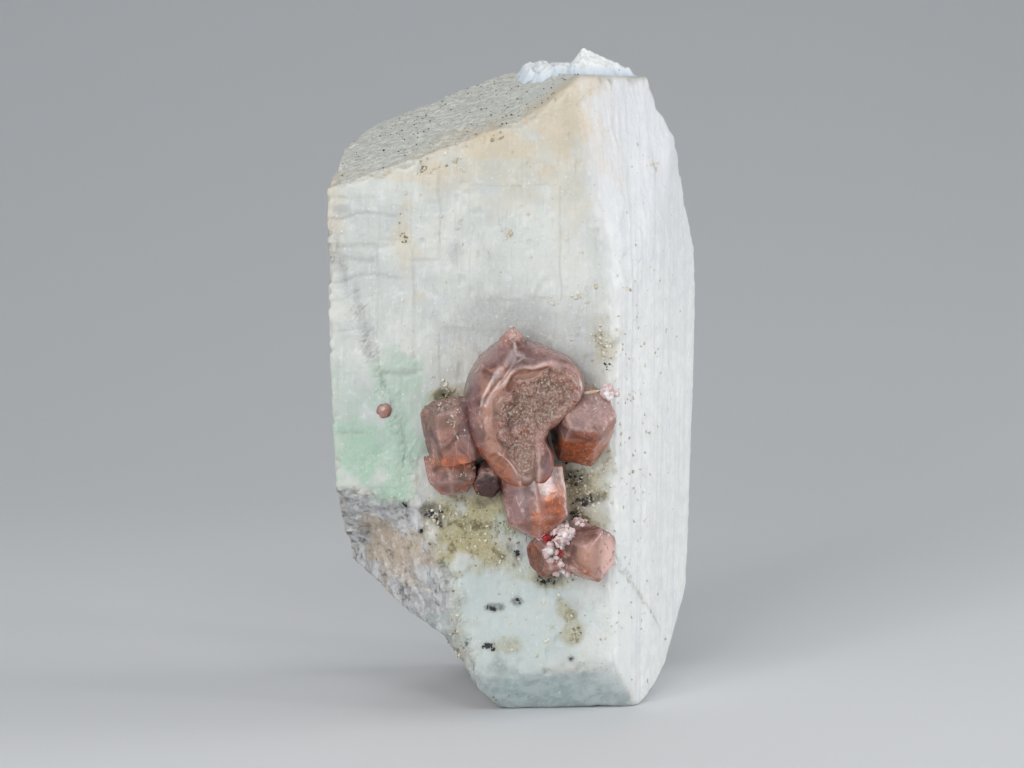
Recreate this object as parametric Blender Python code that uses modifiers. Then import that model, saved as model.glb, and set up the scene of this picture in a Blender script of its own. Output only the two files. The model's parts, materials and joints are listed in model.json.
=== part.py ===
"""Red apatite crystals grown on the front face of a large feldspar crystal.

The specimen stands upright on its broken foot. Lengths below are in millimetres and become
metres where a mesh is made. +Z is up, +X is to the right of the big front face, and -Y is the
way that face looks. Places are measured from DRAWING_ORIGIN, which is set so that the world's
origin is under the middle of the specimen's box, at the height where it stands.
"""

import math

import bmesh
import bpy
import numpy as np
from mathutils import Matrix, Vector, noise

MM = 0.001
BLOCK = 400.0
SEAT_GAP = 0.3
DRAWING_ORIGIN = (-1.25, -0.99, 0.0)

# The feldspar: the faces and edges that its other sizes follow from.
LEFT, RIGHT = -36.0, 38.6
FRONT, BACK = -18.6, 32.2
TOP = 127.4
FRONT_RIGHT_EDGE = 20.4
SIDE_EDGE_Y = -3.4
FOOT_FRONT = -10.4

# The roof's two slopes: a point on each, then its rise per millimetre to the right and backwards.
ROOF_START = (LEFT, FRONT, 105.0)
ROOF_RISE = (0.355, 0.297)
CROWN_START = (2.3, FRONT, 118.0)
CROWN_RISE = (0.80, 0.22)
RIDGE_Y = 13.6


def linked(name, mesh, collection, helper=False):
    obj = bpy.data.objects.new(name, mesh)
    obj.parent = bpy.data.objects["drawing_origin"]
    collection.objects.link(obj)
    if helper:
        obj.hide_render = True
        obj.display_type = "WIRE"
    return obj


def mesh_of(name, bm):
    mesh = bpy.data.meshes.new(name)
    bmesh.ops.recalc_face_normals(bm, faces=bm.faces)
    bm.to_mesh(mesh)
    bm.free()
    return mesh


def block_cut_by(name, planes, collection, helper=False):
    """A block cut down by planes, each a point in mm and the direction that the new face looks."""
    bm = bmesh.new()
    bmesh.ops.create_cube(bm, size=BLOCK * MM)
    for point, outward in planes:
        cut = bmesh.ops.bisect_plane(
            bm,
            geom=bm.verts[:] + bm.edges[:] + bm.faces[:],
            dist=1e-7,
            plane_co=Vector(point) * MM,
            plane_no=Vector(outward).normalized(),
            clear_outer=True,
        )
        rim = [e for e in cut["geom_cut"] if isinstance(e, bmesh.types.BMEdge)]
        if rim:
            bmesh.ops.contextual_create(bm, geom=rim)
    bmesh.ops.remove_doubles(bm, verts=bm.verts, dist=1e-6)
    return linked(name, mesh_of(name, bm), collection, helper)


def slope_facing_up(point, rise_x, rise_y):
    """The plane through a point that rises by rise_x to the right and rise_y backwards."""
    return point, (-rise_x, -rise_y, 1.0)


def turned(plane):
    point, outward = plane
    return point, tuple(-n for n in outward)


def lifted(plane, height):
    (x, y, z), outward = plane
    return (x, y, z + height), outward


def boolean(target, tool, operation):
    modifier = target.modifiers.new(operation.title() + "_" + tool.name, "BOOLEAN")
    modifier.operation = operation
    modifier.object = tool


def rough_cutter(name, centre, outward, along, size, cells, depth, relief, collection):
    """A slab whose inner face is uneven. Subtracting it leaves a broken face on the crystal.

    The inner face is a grid in the plane through centre. Each point moves along the outward
    direction by relief(u, v), with u measured along, v across, all in mm."""
    outward = Vector(outward).normalized()
    across = outward.cross(Vector(along)).normalized()
    along = across.cross(outward)
    bm = bmesh.new()
    bmesh.ops.create_grid(bm, x_segments=cells[0], y_segments=cells[1], size=0.5)
    inner = bm.faces[:]
    for vert in bm.verts:
        u, v = vert.co.x * size[0], vert.co.y * size[1]
        place = Vector(centre) + along * u + across * v + outward * relief(u, v)
        vert.co = place * MM
    grown = bmesh.ops.extrude_face_region(bm, geom=inner)
    outer = [v for v in grown["geom"] if isinstance(v, bmesh.types.BMVert)]
    bmesh.ops.translate(bm, verts=outer, vec=outward * depth * MM)
    return linked(name, mesh_of(name, bm), collection, helper=True)


def unevenness(u, v, scale, height, seed):
    """Height in mm of a rough break: two octaves of noise, the finer one sharper."""
    place = Vector((u / scale, v / scale, seed))
    coarse = noise.noise(place)
    fine = abs(noise.noise(place * 2.7 + Vector((5.3, 1.7, 0.0))))
    return height * (coarse + 0.6 * fine)


def stairs(distance, tread, riser):
    """A saw-tooth: the face drops by one riser at the end of each tread."""
    return riser * ((distance / tread) % 1.0)


def simple_material(name, colour, roughness):
    material = bpy.data.materials.new(name)
    material.use_nodes = True
    shader = material.node_tree.nodes["Principled BSDF"]
    shader.inputs["Base Color"].default_value = (*colour, 1.0)
    shader.inputs["Roughness"].default_value = roughness
    shader.inputs["Metallic"].default_value = 0.0
    return material


# The feldspar crystal.

SIDE_FACES = [
    ((0, FRONT, 0), (0, -1, 0)),
    ((0, BACK, 0), (0.02, 1, 0.03)),
    ((LEFT, FRONT, 90), (-0.99, 0.12, -0.01)),
    ((LEFT, FRONT, 75), (-0.99, 0.10, -0.055)),
    ((-32.8, 6.0, 100), (-0.80, 0.60, -0.02)),
    ((-16.0, BACK, 90), (-0.45, 0.89, 0.0)),
    ((FRONT_RIGHT_EDGE, FRONT, 60), (0.873, -0.488, -0.004)),
    ((FRONT_RIGHT_EDGE, FRONT, 84.5), (0.80, -0.60, 0.145)),
    ((29.4, SIDE_EDGE_Y, 70), (0.945, -0.325, -0.012)),
    ((RIGHT, 22.0, 78), (0.998, 0.02, -0.029)),
    ((RIGHT - 3.6, BACK, 78), (0.72, 0.69, -0.02)),
]
FOOT_FACES = [
    ((35.4, 12.0, 17.5), (0.96, -0.10, -0.26)),
    ((32.0, 6.0, 4.6), (0.74, -0.10, -0.66)),
    ((6.9, FOOT_FRONT, 0), (0.07, -0.74, -0.67)),
    ((0, 0, 0), (0, 0, -1)),
]
TOP_FACES = [
    ((15, FRONT, TOP), (0.035, 0.02, 1)),
    ((-20.0, RIDGE_Y, 120.0), (-0.31, 0.55, 0.87)),
]


def roof_wedge(name, lift, collection):
    """What the roof leaves out: the space above both of its slopes, which turn up at the right."""
    roof = lifted(slope_facing_up(ROOF_START, *ROOF_RISE), lift)
    crown = lifted(slope_facing_up(CROWN_START, *CROWN_RISE), lift)
    return block_cut_by(name, [turned(roof), turned(crown)], collection, helper=True)


def underside_hollow(distance):
    """How far the break's underside is hollowed, along its slope from the left edge."""
    stations = (-21.0, -2.0, 8.5, 16.0, 19.5, 30.0)
    hollows = (0.0, -0.9, -2.7, -1.3, -0.1, 0.0)
    return float(np.interp(distance, stations, hollows))


def shoulder_outline(distance):
    """The broken steps at the upper right, from low on the shoulder to its top."""
    stations = (-28.0, -13.3, -8.2, -1.6, 3.5, 9.6, 17.0)
    heights = (-9.6, -4.0, -3.2, -0.6, 0.1, -0.9, 0.6)
    return float(np.interp(distance, stations, heights))


def build_feldspar(parts, cutters):
    crystal = block_cut_by("feldspar_crystal", SIDE_FACES + FOOT_FACES + TOP_FACES, parts)
    boolean(crystal, roof_wedge("roof_wedge", 0.0, cutters), "DIFFERENCE")

    def shelf(u, v):
        ledge = 1.2 if v > 3.0 + 0.12 * u else 0.0
        return unevenness(u, v, 6.0, 1.1, 1.0) + ledge

    def splinters(u, v):
        return unevenness(u * 0.4, v, 3.6, 0.8, 2.0)

    def underside(u, v):
        return underside_hollow(u) + unevenness(u, v, 5.0, 0.5, 3.0)

    def shoulder(u, v):
        return unevenness(u, v, 5.0, 0.35, 4.0) + shoulder_outline(u + 0.15 * v)

    def cleavage(u, v):
        return unevenness(u, v, 14.0, 0.6, 5.0) - stairs(v + 0.3 * u, 17.0, 1.3)

    # A corner is broken out at the lower left: the space outside both of two rough faces.
    corner = rough_cutter("break_front", (-24.0, 1.4, 28.0), (-0.186, -0.613, -0.766),
                          (1, 0, -0.24), (120, 110), (52, 46), 80, shelf, cutters)
    side = rough_cutter("break_side", (-15.0, -14.5, 22.5), (-0.689, -0.689, -0.224),
                        (0.31, 0, -0.95), (120, 110), (48, 50), 80, splinters, cutters)
    boolean(corner, side, "INTERSECT")
    under = rough_cutter("break_under", (-21.0, -8.6, 18.9), (-0.697, -0.087, -0.707),
                         (0.712, 0, -0.702), (90, 150), (36, 32), 60, underside, cutters)
    stair = rough_cutter("shoulder", (34.4, 12.0, 110.5), (0.86, 0.16, 0.49),
                         (-0.5, 0, 0.86), (76, 90), (44, 12), 60, shoulder, cutters)
    back = rough_cutter("back_cleavage", (4.0, BACK - 0.4, 64.0), (0.02, 1, 0.03),
                        (1, 0, 0), (110, 170), (12, 18), 30, cleavage, cutters)
    for tool in (corner, under, stair, back):
        boolean(crystal, tool, "DIFFERENCE")
    crystal.data.materials.append(simple_material("milky_feldspar", (0.72, 0.73, 0.69), 0.5))


def ringed_block(name, frame, outline, rings, place, collection, helper=False):
    """A block built of rings round an axis, flat at its first ring and closed at its last.

    frame is its centre, then its right, up and outward directions. outline is (angle, radius)
    in degrees and mm. rings are (share of the radius, height). place may move each point."""
    centre, right, up, outward = (Vector(part) for part in frame)
    bm = bmesh.new()
    rows = []
    for share, height in rings:
        row = []
        for angle, radius in outline:
            turn = math.radians(angle)
            u, v, h = place(radius * share * math.cos(turn), radius * share * math.sin(turn),
                            height, angle)
            row.append(bm.verts.new((centre + right * u + up * v + outward * h) * MM))
        rows.append(row)
    for lower, upper in zip(rows[:-1], rows[1:]):
        for k in range(len(outline)):
            after = (k + 1) % len(outline)
            bm.faces.new((lower[k], lower[after], upper[after], upper[k]))
    bm.faces.new(rows[0])
    tip = sum((vert.co for vert in rows[-1]), Vector()) / len(outline)
    bmesh.ops.pointmerge(bm, verts=rows[-1], merge_co=tip)
    return linked(name, mesh_of(name, bm), collection, helper)


# The crust of albite on the crown: a lumpy mound with blades standing in it.

CRUST_CENTRE = (12.9, 6.3, 125.9)
CRUST_REACH = (12.0, 8.2)
CRUST_RIGHT = (0.97, -0.24, 0.0)
CRUST_BACK = (0.24, 0.97, 0.0)
CRUST_RINGS = [(1.05, -9.0), (1.0, 0.6), (0.88, 2.6), (0.66, 3.3), (0.40, 3.2), (0.16, 3.6), (0.0, 3.4)]
BLADES = 16
CRUST_SEED = 11


def build_crust(parts, cutters):
    def lumps(u, v, height, angle):
        place = Vector((u, v, 0.0)) * 0.36
        rise = 1.3 * noise.noise(place) + 0.8 * noise.noise(place * 2.6)
        sideways = 0.9 * noise.noise(place + Vector((7.0, 3.0, 1.0)))
        return u * (1 + 0.05 * sideways), v + sideways, height + (rise if height > 0 else 0.0)

    outline = []
    for angle in range(0, 360, 15):
        turn = math.radians(angle)
        oval = math.hypot(math.cos(turn) / CRUST_REACH[0], math.sin(turn) / CRUST_REACH[1])
        outline.append((angle, 1.0 / oval + 0.7 * math.sin(0.21 * angle)))
    frame = (CRUST_CENTRE, CRUST_RIGHT, CRUST_BACK, (0, 0, 1))
    base = ringed_block("albite_crust", frame, outline, CRUST_RINGS, lumps, parts)
    rng = np.random.default_rng(CRUST_SEED)
    for index in range(BLADES):
        turn = 2.4 * index
        reach = 0.84 * math.sqrt((index + 0.5) / BLADES)
        middle = Vector(CRUST_CENTRE) + Vector((0, 0, rng.uniform(0.9, 1.8)))
        middle += Vector(CRUST_RIGHT) * CRUST_REACH[0] * reach * math.cos(turn)
        middle += Vector(CRUST_BACK) * CRUST_REACH[1] * reach * math.sin(turn)
        size = (rng.uniform(3.5, 6.0), rng.uniform(1.4, 2.4), rng.uniform(4.0, 5.5))
        bm = bmesh.new()
        bmesh.ops.create_cube(bm, size=1.0)
        spin = Matrix.Rotation(rng.uniform(0.0, math.pi), 4, "Z")
        lean = Matrix.Rotation(rng.uniform(-0.6, 0.6), 4, "X")
        tilt = Matrix.Rotation(rng.uniform(-0.4, 0.4), 4, "Y")
        place = Matrix.Translation(middle)
        bm.transform(Matrix.Scale(MM, 4) @ place @ spin @ lean @ tilt @ Matrix.Diagonal((*size, 1)))
        blade = linked(f"blade_{index:02d}", mesh_of("blade", bm), cutters, helper=True)
        boolean(base, blade, "UNION")
    spike = block_cut_by("spike", [
        ((14.0, 0, 131.4), (-0.75, -0.2, 0.63)),
        ((14.6, 0, 131.4), (0.62, -0.2, 0.76)),
        ((14.3, 0.5, 130.4), (0, -0.93, 0.36)),
        ((14.3, 5.5, 130.4), (0, 0.9, 0.43)),
        ((13.0, 0, 0), (-1, 0, 0)),
        ((17.5, 0, 0), (1, 0, 0)),
        ((0, 0, CRUST_CENTRE[2] - 1), (0, 0, -1)),
    ], cutters, helper=True)
    boolean(base, spike, "UNION")
    seat = block_cut_by("crust_seat", [lifted(plane, SEAT_GAP) for plane in TOP_FACES], cutters,
                        helper=True)
    boolean(seat, roof_wedge("seat_wedge", SEAT_GAP + 0.05, cutters), "DIFFERENCE")
    boolean(base, seat, "DIFFERENCE")
    base.data.materials.append(simple_material("white_albite", (0.80, 0.84, 0.86), 0.4))


# The apatite crystals. The largest is a worn, hollowed crystal whose rounded end looks forward.
# The others are six-sided prisms with caps. All are set into the front face.

ROSE = (0.45, 0.20, 0.16)
WORN_EDGE = 0.3


def crystal_planes(centre, c_axis, sides, taper, ends, cap_start, cap_angle, grow=0.0):
    """Planes of a prism: its side faces, its end faces, and the sloping faces of its cap.

    sides are (angle in degrees, distance) round the c-axis, counted from the axis that points
    most to the right. taper leans the sides in towards the cap. cap_start is how far out along
    each side's direction the cap meets the end face, as a share of that side's distance."""
    centre, c_axis = Vector(centre), Vector(c_axis).normalized()
    a_axis = (Vector((1, 0, 0)) - c_axis * c_axis.x).normalized()
    b_axis = c_axis.cross(a_axis)
    lean, slope = math.radians(taper), math.radians(cap_angle)
    planes = [
        (centre + c_axis * (ends[0] + grow), c_axis),
        (centre - c_axis * (ends[1] + grow), -c_axis),
    ]
    for angle, distance in sides:
        turn = math.radians(angle)
        out = a_axis * math.cos(turn) + b_axis * math.sin(turn)
        planes.append((centre + out * (distance + grow), out * math.cos(lean) + c_axis * math.sin(lean)))
        rim = centre + c_axis * ends[0] + out * distance * cap_start
        facing = out * math.cos(slope) + c_axis * math.sin(slope)
        planes.append((rim + facing * grow, facing))
    return planes


def six_sides(distance, spin, *changes):
    """Six equal side faces, spin degrees round, with each change added to its side's distance."""
    changes = list(changes) + [0.0] * (6 - len(changes))
    return [(spin + 60 * k, distance + changes[k]) for k in range(6)]


CUP_CENTRE = (0.0, FRONT, 63.4)
CUP_OUTLINE = [
    (3, 11.2), (12, 13.4), (20, 14.8), (30, 15.1), (42, 14.4), (55, 13.6), (68, 13.2), (80, 13.2),
    (90, 13.1), (99, 12.8), (112, 12.0), (128, 11.1), (144, 10.4), (160, 9.9), (178, 9.7),
    (196, 9.8), (213, 10.2), (230, 10.9), (244, 12.0), (257, 14.0), (268, 15.4), (280, 16.0),
    (292, 15.8), (302, 14.6), (310, 12.0), (317, 8.6), (332, 7.9), (348, 9.4),
]
CUP_RINGS = [(0.94, -2.0), (0.98, 2.0), (1.0, 5.0), (0.97, 8.2), (0.90, 10.6), (0.81, 11.6),
             (0.71, 11.0), (0.52, 9.6), (0.26, 8.9), (0.0, 8.7)]
CUP_LEAN = (0.13, -0.11)
TONGUE_DROP = 2.6
NUB_ANGLE = 90

RIGHT_PRISM = dict(centre=(14.4, -23.4, 60.2), c_axis=(0.13, -0.84, 0.52), taper=3, ends=(4.6, 9.0),
                   cap_start=0.74, cap_angle=48, sides=six_sides(5.3, 10, 0.2, 0, 0, 0.2, 0.3, 0.3))
LOWER_PRISM = dict(centre=(4.5, -22.2, 45.2), c_axis=(0.13, -0.26, -0.96), taper=3, ends=(7.8, 8.0),
                   cap_start=0.50, cap_angle=34, sides=six_sides(6.3, 3))
DARK_PRISM = dict(centre=(-4.4, -19.5, 48.2), c_axis=(-0.1, -0.95, -0.2), taper=6, ends=(3.2, 6.0),
                  cap_start=0.7, cap_angle=45, sides=six_sides(3.2, 20))
LEFT_UPPER = dict(centre=(-11.2, -23.0, 57.6), c_axis=(-0.13, -0.16, 0.97), taper=1, ends=(6.2, 5.4),
                  cap_start=0.80, cap_angle=50, sides=six_sides(5.2, 35))
LEFT_LOWER = dict(centre=(-10.7, -20.0, 49.4), c_axis=(0.10, -0.12, -0.98), taper=7, ends=(4.8, 5.0),
                  cap_start=0.50, cap_angle=40, sides=six_sides(4.9, 4))
BROKEN_LEFT = dict(centre=(7.4, -20.4, 32.6), c_axis=(-0.88, -0.36, 0.10), taper=2, ends=(3.8, 6.0),
                   cap_start=0.5, cap_angle=35, sides=six_sides(3.6, 25))
BROKEN_RIGHT = dict(centre=(16.2, -22.4, 32.6), c_axis=(0.74, -0.67, -0.02), taper=3, ends=(3.4, 5.0),
                    cap_start=0.45, cap_angle=38, sides=six_sides(4.6, 18))
BEAD = dict(centre=(-24.9, -18.7, 61.6), c_axis=(0.0, -1.0, 0.0), taper=12, ends=(1.1, 2.0),
            cap_start=0.75, cap_angle=45, sides=six_sides(1.6, 10))


def cup(name, collection, helper=True, grow=0.0):
    """The hollowed crystal. Its end leans right and down, and its tongue is lower than the rest."""
    def place(u, v, height, angle):
        drop = TONGUE_DROP * max(0.0, -v - 6.0) / 10.0 if height > 4.0 else 0.0
        worn = 0.25 * noise.noise(Vector((u, v, height)) * 0.5)
        out = height - drop + worn
        nub = 1.5 if angle == NUB_ANGLE and 4.0 < height < 9.0 and math.hypot(u, v) > 12.0 else 0.0
        across, up = u + CUP_LEAN[0] * out, v + nub + CUP_LEAN[1] * out
        return across, up, out + (grow if height > 0 else 0.0)

    outline = [(angle, radius + 1.1 * grow) for angle, radius in CUP_OUTLINE]
    frame = (CUP_CENTRE, (1, 0, 0), (0, 0, 1), (0, -1, 0))
    return ringed_block(name, frame, outline, CUP_RINGS, place, collection, helper)


def prism(name, shape, collection, helper=True, grow=0.0):
    crystal = block_cut_by(name, crystal_planes(**shape, grow=grow), collection, helper)
    if grow == 0.0:
        softened(crystal, WORN_EDGE)
    return crystal


def softened(obj, width):
    """Worn edges: a narrow bevel."""
    bevel = obj.modifiers.new("Worn_edges", "BEVEL")
    bevel.width = width * MM
    bevel.segments = 1
    bevel.limit_method = "ANGLE"
    bevel.angle_limit = math.radians(20)
    weld = obj.modifiers.new("Weld_corners", "WELD")
    weld.merge_threshold = 0.02 * MM


def build_apatites(parts, cutters):
    rose = simple_material("rose_apatite", ROSE, 0.3)

    body = cup("apatite_cluster", parts, helper=False)
    for name, shape in (("right_prism", RIGHT_PRISM), ("lower_prism", LOWER_PRISM),
                        ("dark_prism", DARK_PRISM)):
        boolean(body, prism(name, shape, cutters), "UNION")

    left = prism("apatite_left_pair", LEFT_UPPER, parts, helper=False)
    boolean(left, prism("left_lower", LEFT_LOWER, cutters), "UNION")
    boolean(left, cup("cup_clearance", cutters, grow=SEAT_GAP), "DIFFERENCE")
    boolean(left, prism("dark_clearance", DARK_PRISM, cutters, grow=SEAT_GAP), "DIFFERENCE")
    broken = prism("apatite_broken_prism", BROKEN_RIGHT, parts, helper=False)
    boolean(broken, prism("broken_left", BROKEN_LEFT, cutters), "UNION")
    boolean(broken, prism("lower_clearance", LOWER_PRISM, cutters, grow=SEAT_GAP), "DIFFERENCE")
    bead = prism("apatite_bead", BEAD, parts, helper=False)
    buried = block_cut_by("buried", [((0, FRONT - SEAT_GAP, 0), (0, -1, 0))], cutters, helper=True)
    for crystal in (body, left, broken, bead):
        boolean(crystal, buried, "DIFFERENCE")
        crystal.data.materials.append(rose)


def main():
    for old in list(bpy.data.objects):
        bpy.data.objects.remove(old)
    parts = bpy.data.collections.new("apatite_on_feldspar")
    cutters = bpy.data.collections.new("cutters")
    bpy.context.scene.collection.children.link(parts)
    bpy.context.scene.collection.children.link(cutters)
    drawing_origin = bpy.data.objects.new("drawing_origin", None)
    drawing_origin.location = Vector(DRAWING_ORIGIN) * MM
    cutters.objects.link(drawing_origin)
    build_feldspar(parts, cutters)
    build_crust(parts, cutters)
    build_apatites(parts, cutters)


main()
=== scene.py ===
import json
import math

import bpy
import numpy as np
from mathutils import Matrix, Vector

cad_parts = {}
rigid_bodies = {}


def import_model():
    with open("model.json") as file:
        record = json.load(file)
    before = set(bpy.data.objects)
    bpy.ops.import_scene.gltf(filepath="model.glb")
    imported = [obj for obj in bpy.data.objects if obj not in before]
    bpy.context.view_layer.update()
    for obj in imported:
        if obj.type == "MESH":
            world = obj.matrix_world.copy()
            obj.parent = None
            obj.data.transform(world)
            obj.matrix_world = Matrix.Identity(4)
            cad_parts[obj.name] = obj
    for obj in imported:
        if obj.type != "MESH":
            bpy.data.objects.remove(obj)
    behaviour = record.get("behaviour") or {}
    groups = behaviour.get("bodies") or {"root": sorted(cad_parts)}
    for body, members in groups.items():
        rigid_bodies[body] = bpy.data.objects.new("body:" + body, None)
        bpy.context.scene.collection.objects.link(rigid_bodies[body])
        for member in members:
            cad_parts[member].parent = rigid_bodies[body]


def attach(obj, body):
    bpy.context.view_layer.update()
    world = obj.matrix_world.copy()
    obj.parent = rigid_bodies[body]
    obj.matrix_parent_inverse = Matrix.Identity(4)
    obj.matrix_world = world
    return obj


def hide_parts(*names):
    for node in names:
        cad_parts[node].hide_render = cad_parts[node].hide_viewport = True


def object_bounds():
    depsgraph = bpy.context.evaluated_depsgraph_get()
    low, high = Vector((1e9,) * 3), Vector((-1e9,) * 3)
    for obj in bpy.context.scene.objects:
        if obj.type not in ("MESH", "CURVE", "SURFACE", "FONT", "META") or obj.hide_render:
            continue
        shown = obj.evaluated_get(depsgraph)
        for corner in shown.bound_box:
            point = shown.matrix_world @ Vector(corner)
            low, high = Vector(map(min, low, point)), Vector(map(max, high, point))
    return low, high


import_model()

cad_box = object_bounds()

# The camera and the studio.
# The picture is taken square to the specimen's big front face and 7 degrees above it, with a long
# lens. The crystal stands on a pale paper sweep under three softboxes and three small lamps.
# Lengths in this script are in millimetres, measured from the same drawing origin as the part's
# own source.

MM = 0.001
DRAWING_ORIGIN = np.array([-1.25, -0.99, 0.0])
AIM = (0.3, -8.6, 65.7)
DISTANCE = 650.0
RISE = math.radians(7.0)


def place(point):
    """A point in drawing millimetres as a vector in metres."""
    return Vector((np.array(point) + DRAWING_ORIGIN) * MM)


lens = bpy.data.cameras.new("front_camera")
lens.sensor_width = 36.0
lens.lens = 114.26
lens.clip_start = 0.01
camera = bpy.data.objects.new("front_camera", lens)
backwards = Vector((0.0, -math.cos(RISE), math.sin(RISE)))
camera.location = place(AIM) + backwards * DISTANCE * MM
camera.rotation_euler = (-backwards).to_track_quat("-Z", "Y").to_euler()
bpy.context.scene.collection.objects.link(camera)
bpy.context.scene.camera = camera


def softbox(name, where, size, power):
    """A rectangular lamp that faces the specimen: its width and height in metres, its watts."""
    lamp = bpy.data.lights.new(name, "AREA")
    lamp.shape = "RECTANGLE"
    lamp.size, lamp.size_y = size
    lamp.energy = power
    holder = bpy.data.objects.new(name, lamp)
    holder.location = place(where)
    towards = place(AIM) - holder.location
    holder.rotation_euler = towards.to_track_quat("-Z", "Y").to_euler()
    bpy.context.scene.collection.objects.link(holder)


softbox("softbox_right", (640, 50, 40), (0.28, 0.80), 3.7)
softbox("softbox_left", (-340, -680, 260), (0.34, 0.70), 3.5)
softbox("softbox_top", (-160, 60, 760), (0.60, 0.50), 0.80)
softbox("small_lamp_right", (560, -215, 230), (0.05, 0.12), 0.46)
softbox("small_lamp_left", (-380, -560, 330), (0.05, 0.16), 0.32)
softbox("small_lamp_top", (30, -430, 500), (0.30, 0.06), 0.55)
sky = bpy.data.worlds.new("studio_air")
sky.use_nodes = True
air = sky.node_tree.nodes["Background"]
air.inputs["Color"].default_value = (0.80, 0.84, 0.90, 1.0)
air.inputs["Strength"].default_value = 0.29
bpy.context.scene.world = sky
bpy.context.scene.view_settings.view_transform = "Standard"


def new_piece(name, points, faces, smooth=True):
    """An object at the origin, made of points in drawing millimetres and faces."""
    mesh = bpy.data.meshes.new(name)
    mesh.from_pydata((points + DRAWING_ORIGIN) * MM, [], faces)
    if smooth:
        mesh.shade_smooth()
    piece = bpy.data.objects.new(name, mesh)
    bpy.context.scene.collection.objects.link(piece)
    return piece


def grid_faces(rows, columns, closed_round):
    """The four-sided faces of a grid, and the index of each column and of the one after it."""
    column = np.arange(columns if closed_round else columns - 1)
    after = (column + 1) % columns
    start = np.arange(rows - 1)[:, None] * columns
    quads = np.stack([start + column, start + after, start + columns + after,
                      start + columns + column], axis=-1).reshape(-1, 4)
    return quads, column, after


def end_faces(rows, columns, column, after):
    """The triangles that close a round grid's first row and last row, each to its own pole."""
    last = (rows - 1) * columns
    first_pole = np.full(columns, rows * columns)
    return np.concatenate([np.stack([first_pole, after, column], axis=-1),
                           np.stack([first_pole + 1, last + column, last + after], axis=-1)])


def mesh_from_grid(name, points, closed_round=False):
    """A mesh over a grid of points. Rows run along the first index. Where the columns close
    round, the first and last rows are closed too, each to its own middle."""
    rows, columns = points.shape[:2]
    quads, column, after = grid_faces(rows, columns, closed_round)
    flat, faces = points.reshape(-1, 3), quads.tolist()
    if closed_round:
        flat = np.vstack([flat, points[0].mean(axis=0), points[-1].mean(axis=0)])
        faces += end_faces(rows, columns, column, after).tolist()
    return new_piece(name, flat, faces)


# The sweep: a floor that curves up into a wall far behind. Its section is a quarter circle.
SWEEP_HALF_WIDTH, SWEEP_FRONT, SWEEP_BACK = 2500.0, -1500.0, 250.0
SWEEP_RADIUS, WALL_HEIGHT = 900.0, 2000.0
bend = np.linspace(0.0, math.pi / 2, 24)
section_y = np.concatenate([[SWEEP_FRONT], SWEEP_BACK + SWEEP_RADIUS * np.sin(bend),
                            [SWEEP_BACK + SWEEP_RADIUS]])
section_z = np.concatenate([[0.0], SWEEP_RADIUS * (1.0 - np.cos(bend)), [WALL_HEIGHT]])
across = np.array([SWEEP_HALF_WIDTH, -SWEEP_HALF_WIDTH])
section = np.broadcast_arrays(across, section_y[:, None], section_z[:, None])
sweep_points = np.stack(section, axis=-1)
sweep = mesh_from_grid("paper_sweep", sweep_points)
paper = bpy.data.materials.new("pale_paper")
paper.use_nodes = True
shader = paper.node_tree.nodes["Principled BSDF"]
shader.inputs["Base Color"].default_value = (0.70, 0.71, 0.72, 1.0)
shader.inputs["Roughness"].default_value = 0.8
sweep.data.materials.append(paper)


# The feldspar crystal.
# One tall block of milky feldspar: flat growth faces, a roof of two slopes, a grooved right side,
# and a corner broken out at its lower left. It stands on its own narrow foot.

LEFT, RIGHT = -36.0, 38.6
FRONT, BACK = -18.6, 32.2
EDGE_WEAR, FRONT_EDGE_WEAR = 0.25, 0.85
EDGE_BITE = 1.15
# The slanted line that the surface's rays start from: its heights, and where it runs there.
AXIS_FOOT, AXIS_HEAD = 8.0, 95.0
AXIS_STATIONS = [AXIS_FOOT, 30.0, 60.0, AXIS_HEAD]
AXIS_X = [13.0, 8.0, 2.0, 0.0]
AXIS_Y = [10.0, 8.0, 7.0, 7.0]


def lattice_noise(points, seed):
    """Smooth noise between -1 and 1. Each whole-numbered lattice corner has a hashed value, and
    the eight round a point are blended with the weight 6t^5 - 15t^4 + 10t^3 along each axis."""
    cell = np.floor(points).astype(np.int64)
    t = points - cell
    weight = t * t * t * (t * (t * 6.0 - 15.0) + 10.0)
    total = np.zeros(points.shape[:-1])
    for corner in range(8):
        step = np.array([corner & 1, (corner >> 1) & 1, corner >> 2])
        key = ((cell + step) * np.array([73856093, 19349663, 83492791])).sum(axis=-1) + seed * 97531
        key = ((key ^ (key >> 13)) * 1274126177) & 0x7FFFFFFF
        key = (key ^ (key >> 15)) & 0xFFFF
        share = np.where(step == 1, weight, 1.0 - weight).prod(axis=-1)
        total += share * (key / 32767.5 - 1.0)
    return total


def layered_noise(points, seed, layers=3):
    """Noise with finer and weaker copies of itself added: each is twice as fine, half as high."""
    total, height = 0.0, 1.0
    for layer in range(layers):
        total = total + height * lattice_noise(points * 2.0 ** layer, seed + 17 * layer)
        height *= 0.5
    return total


def smooth_step(low, high, value):
    """0 up to low, 1 from high on, and a smooth rise between; low may be the larger one."""
    t = np.clip((value - low) / (high - low), 0.0, 1.0)
    return t * t * (3.0 - 2.0 * t)


def stretched(points, lengths, turn=0.0):
    """Points with x, y and z divided by lengths, after a turn in degrees about the y axis."""
    c, s = math.cos(math.radians(turn)), math.sin(math.radians(turn))
    x = points[..., 0] * c + points[..., 2] * s
    z = points[..., 2] * c - points[..., 0] * s
    return np.stack([x / lengths[0], points[..., 1] / lengths[1], z / lengths[2]], axis=-1)


PICTURE_MIDDLE, PICTURE_FOOT = 512.0, 710.0
ACROSS_STEP, UP_STEP, SPOT_STEP = 0.197, 0.2015, 0.2


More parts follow.
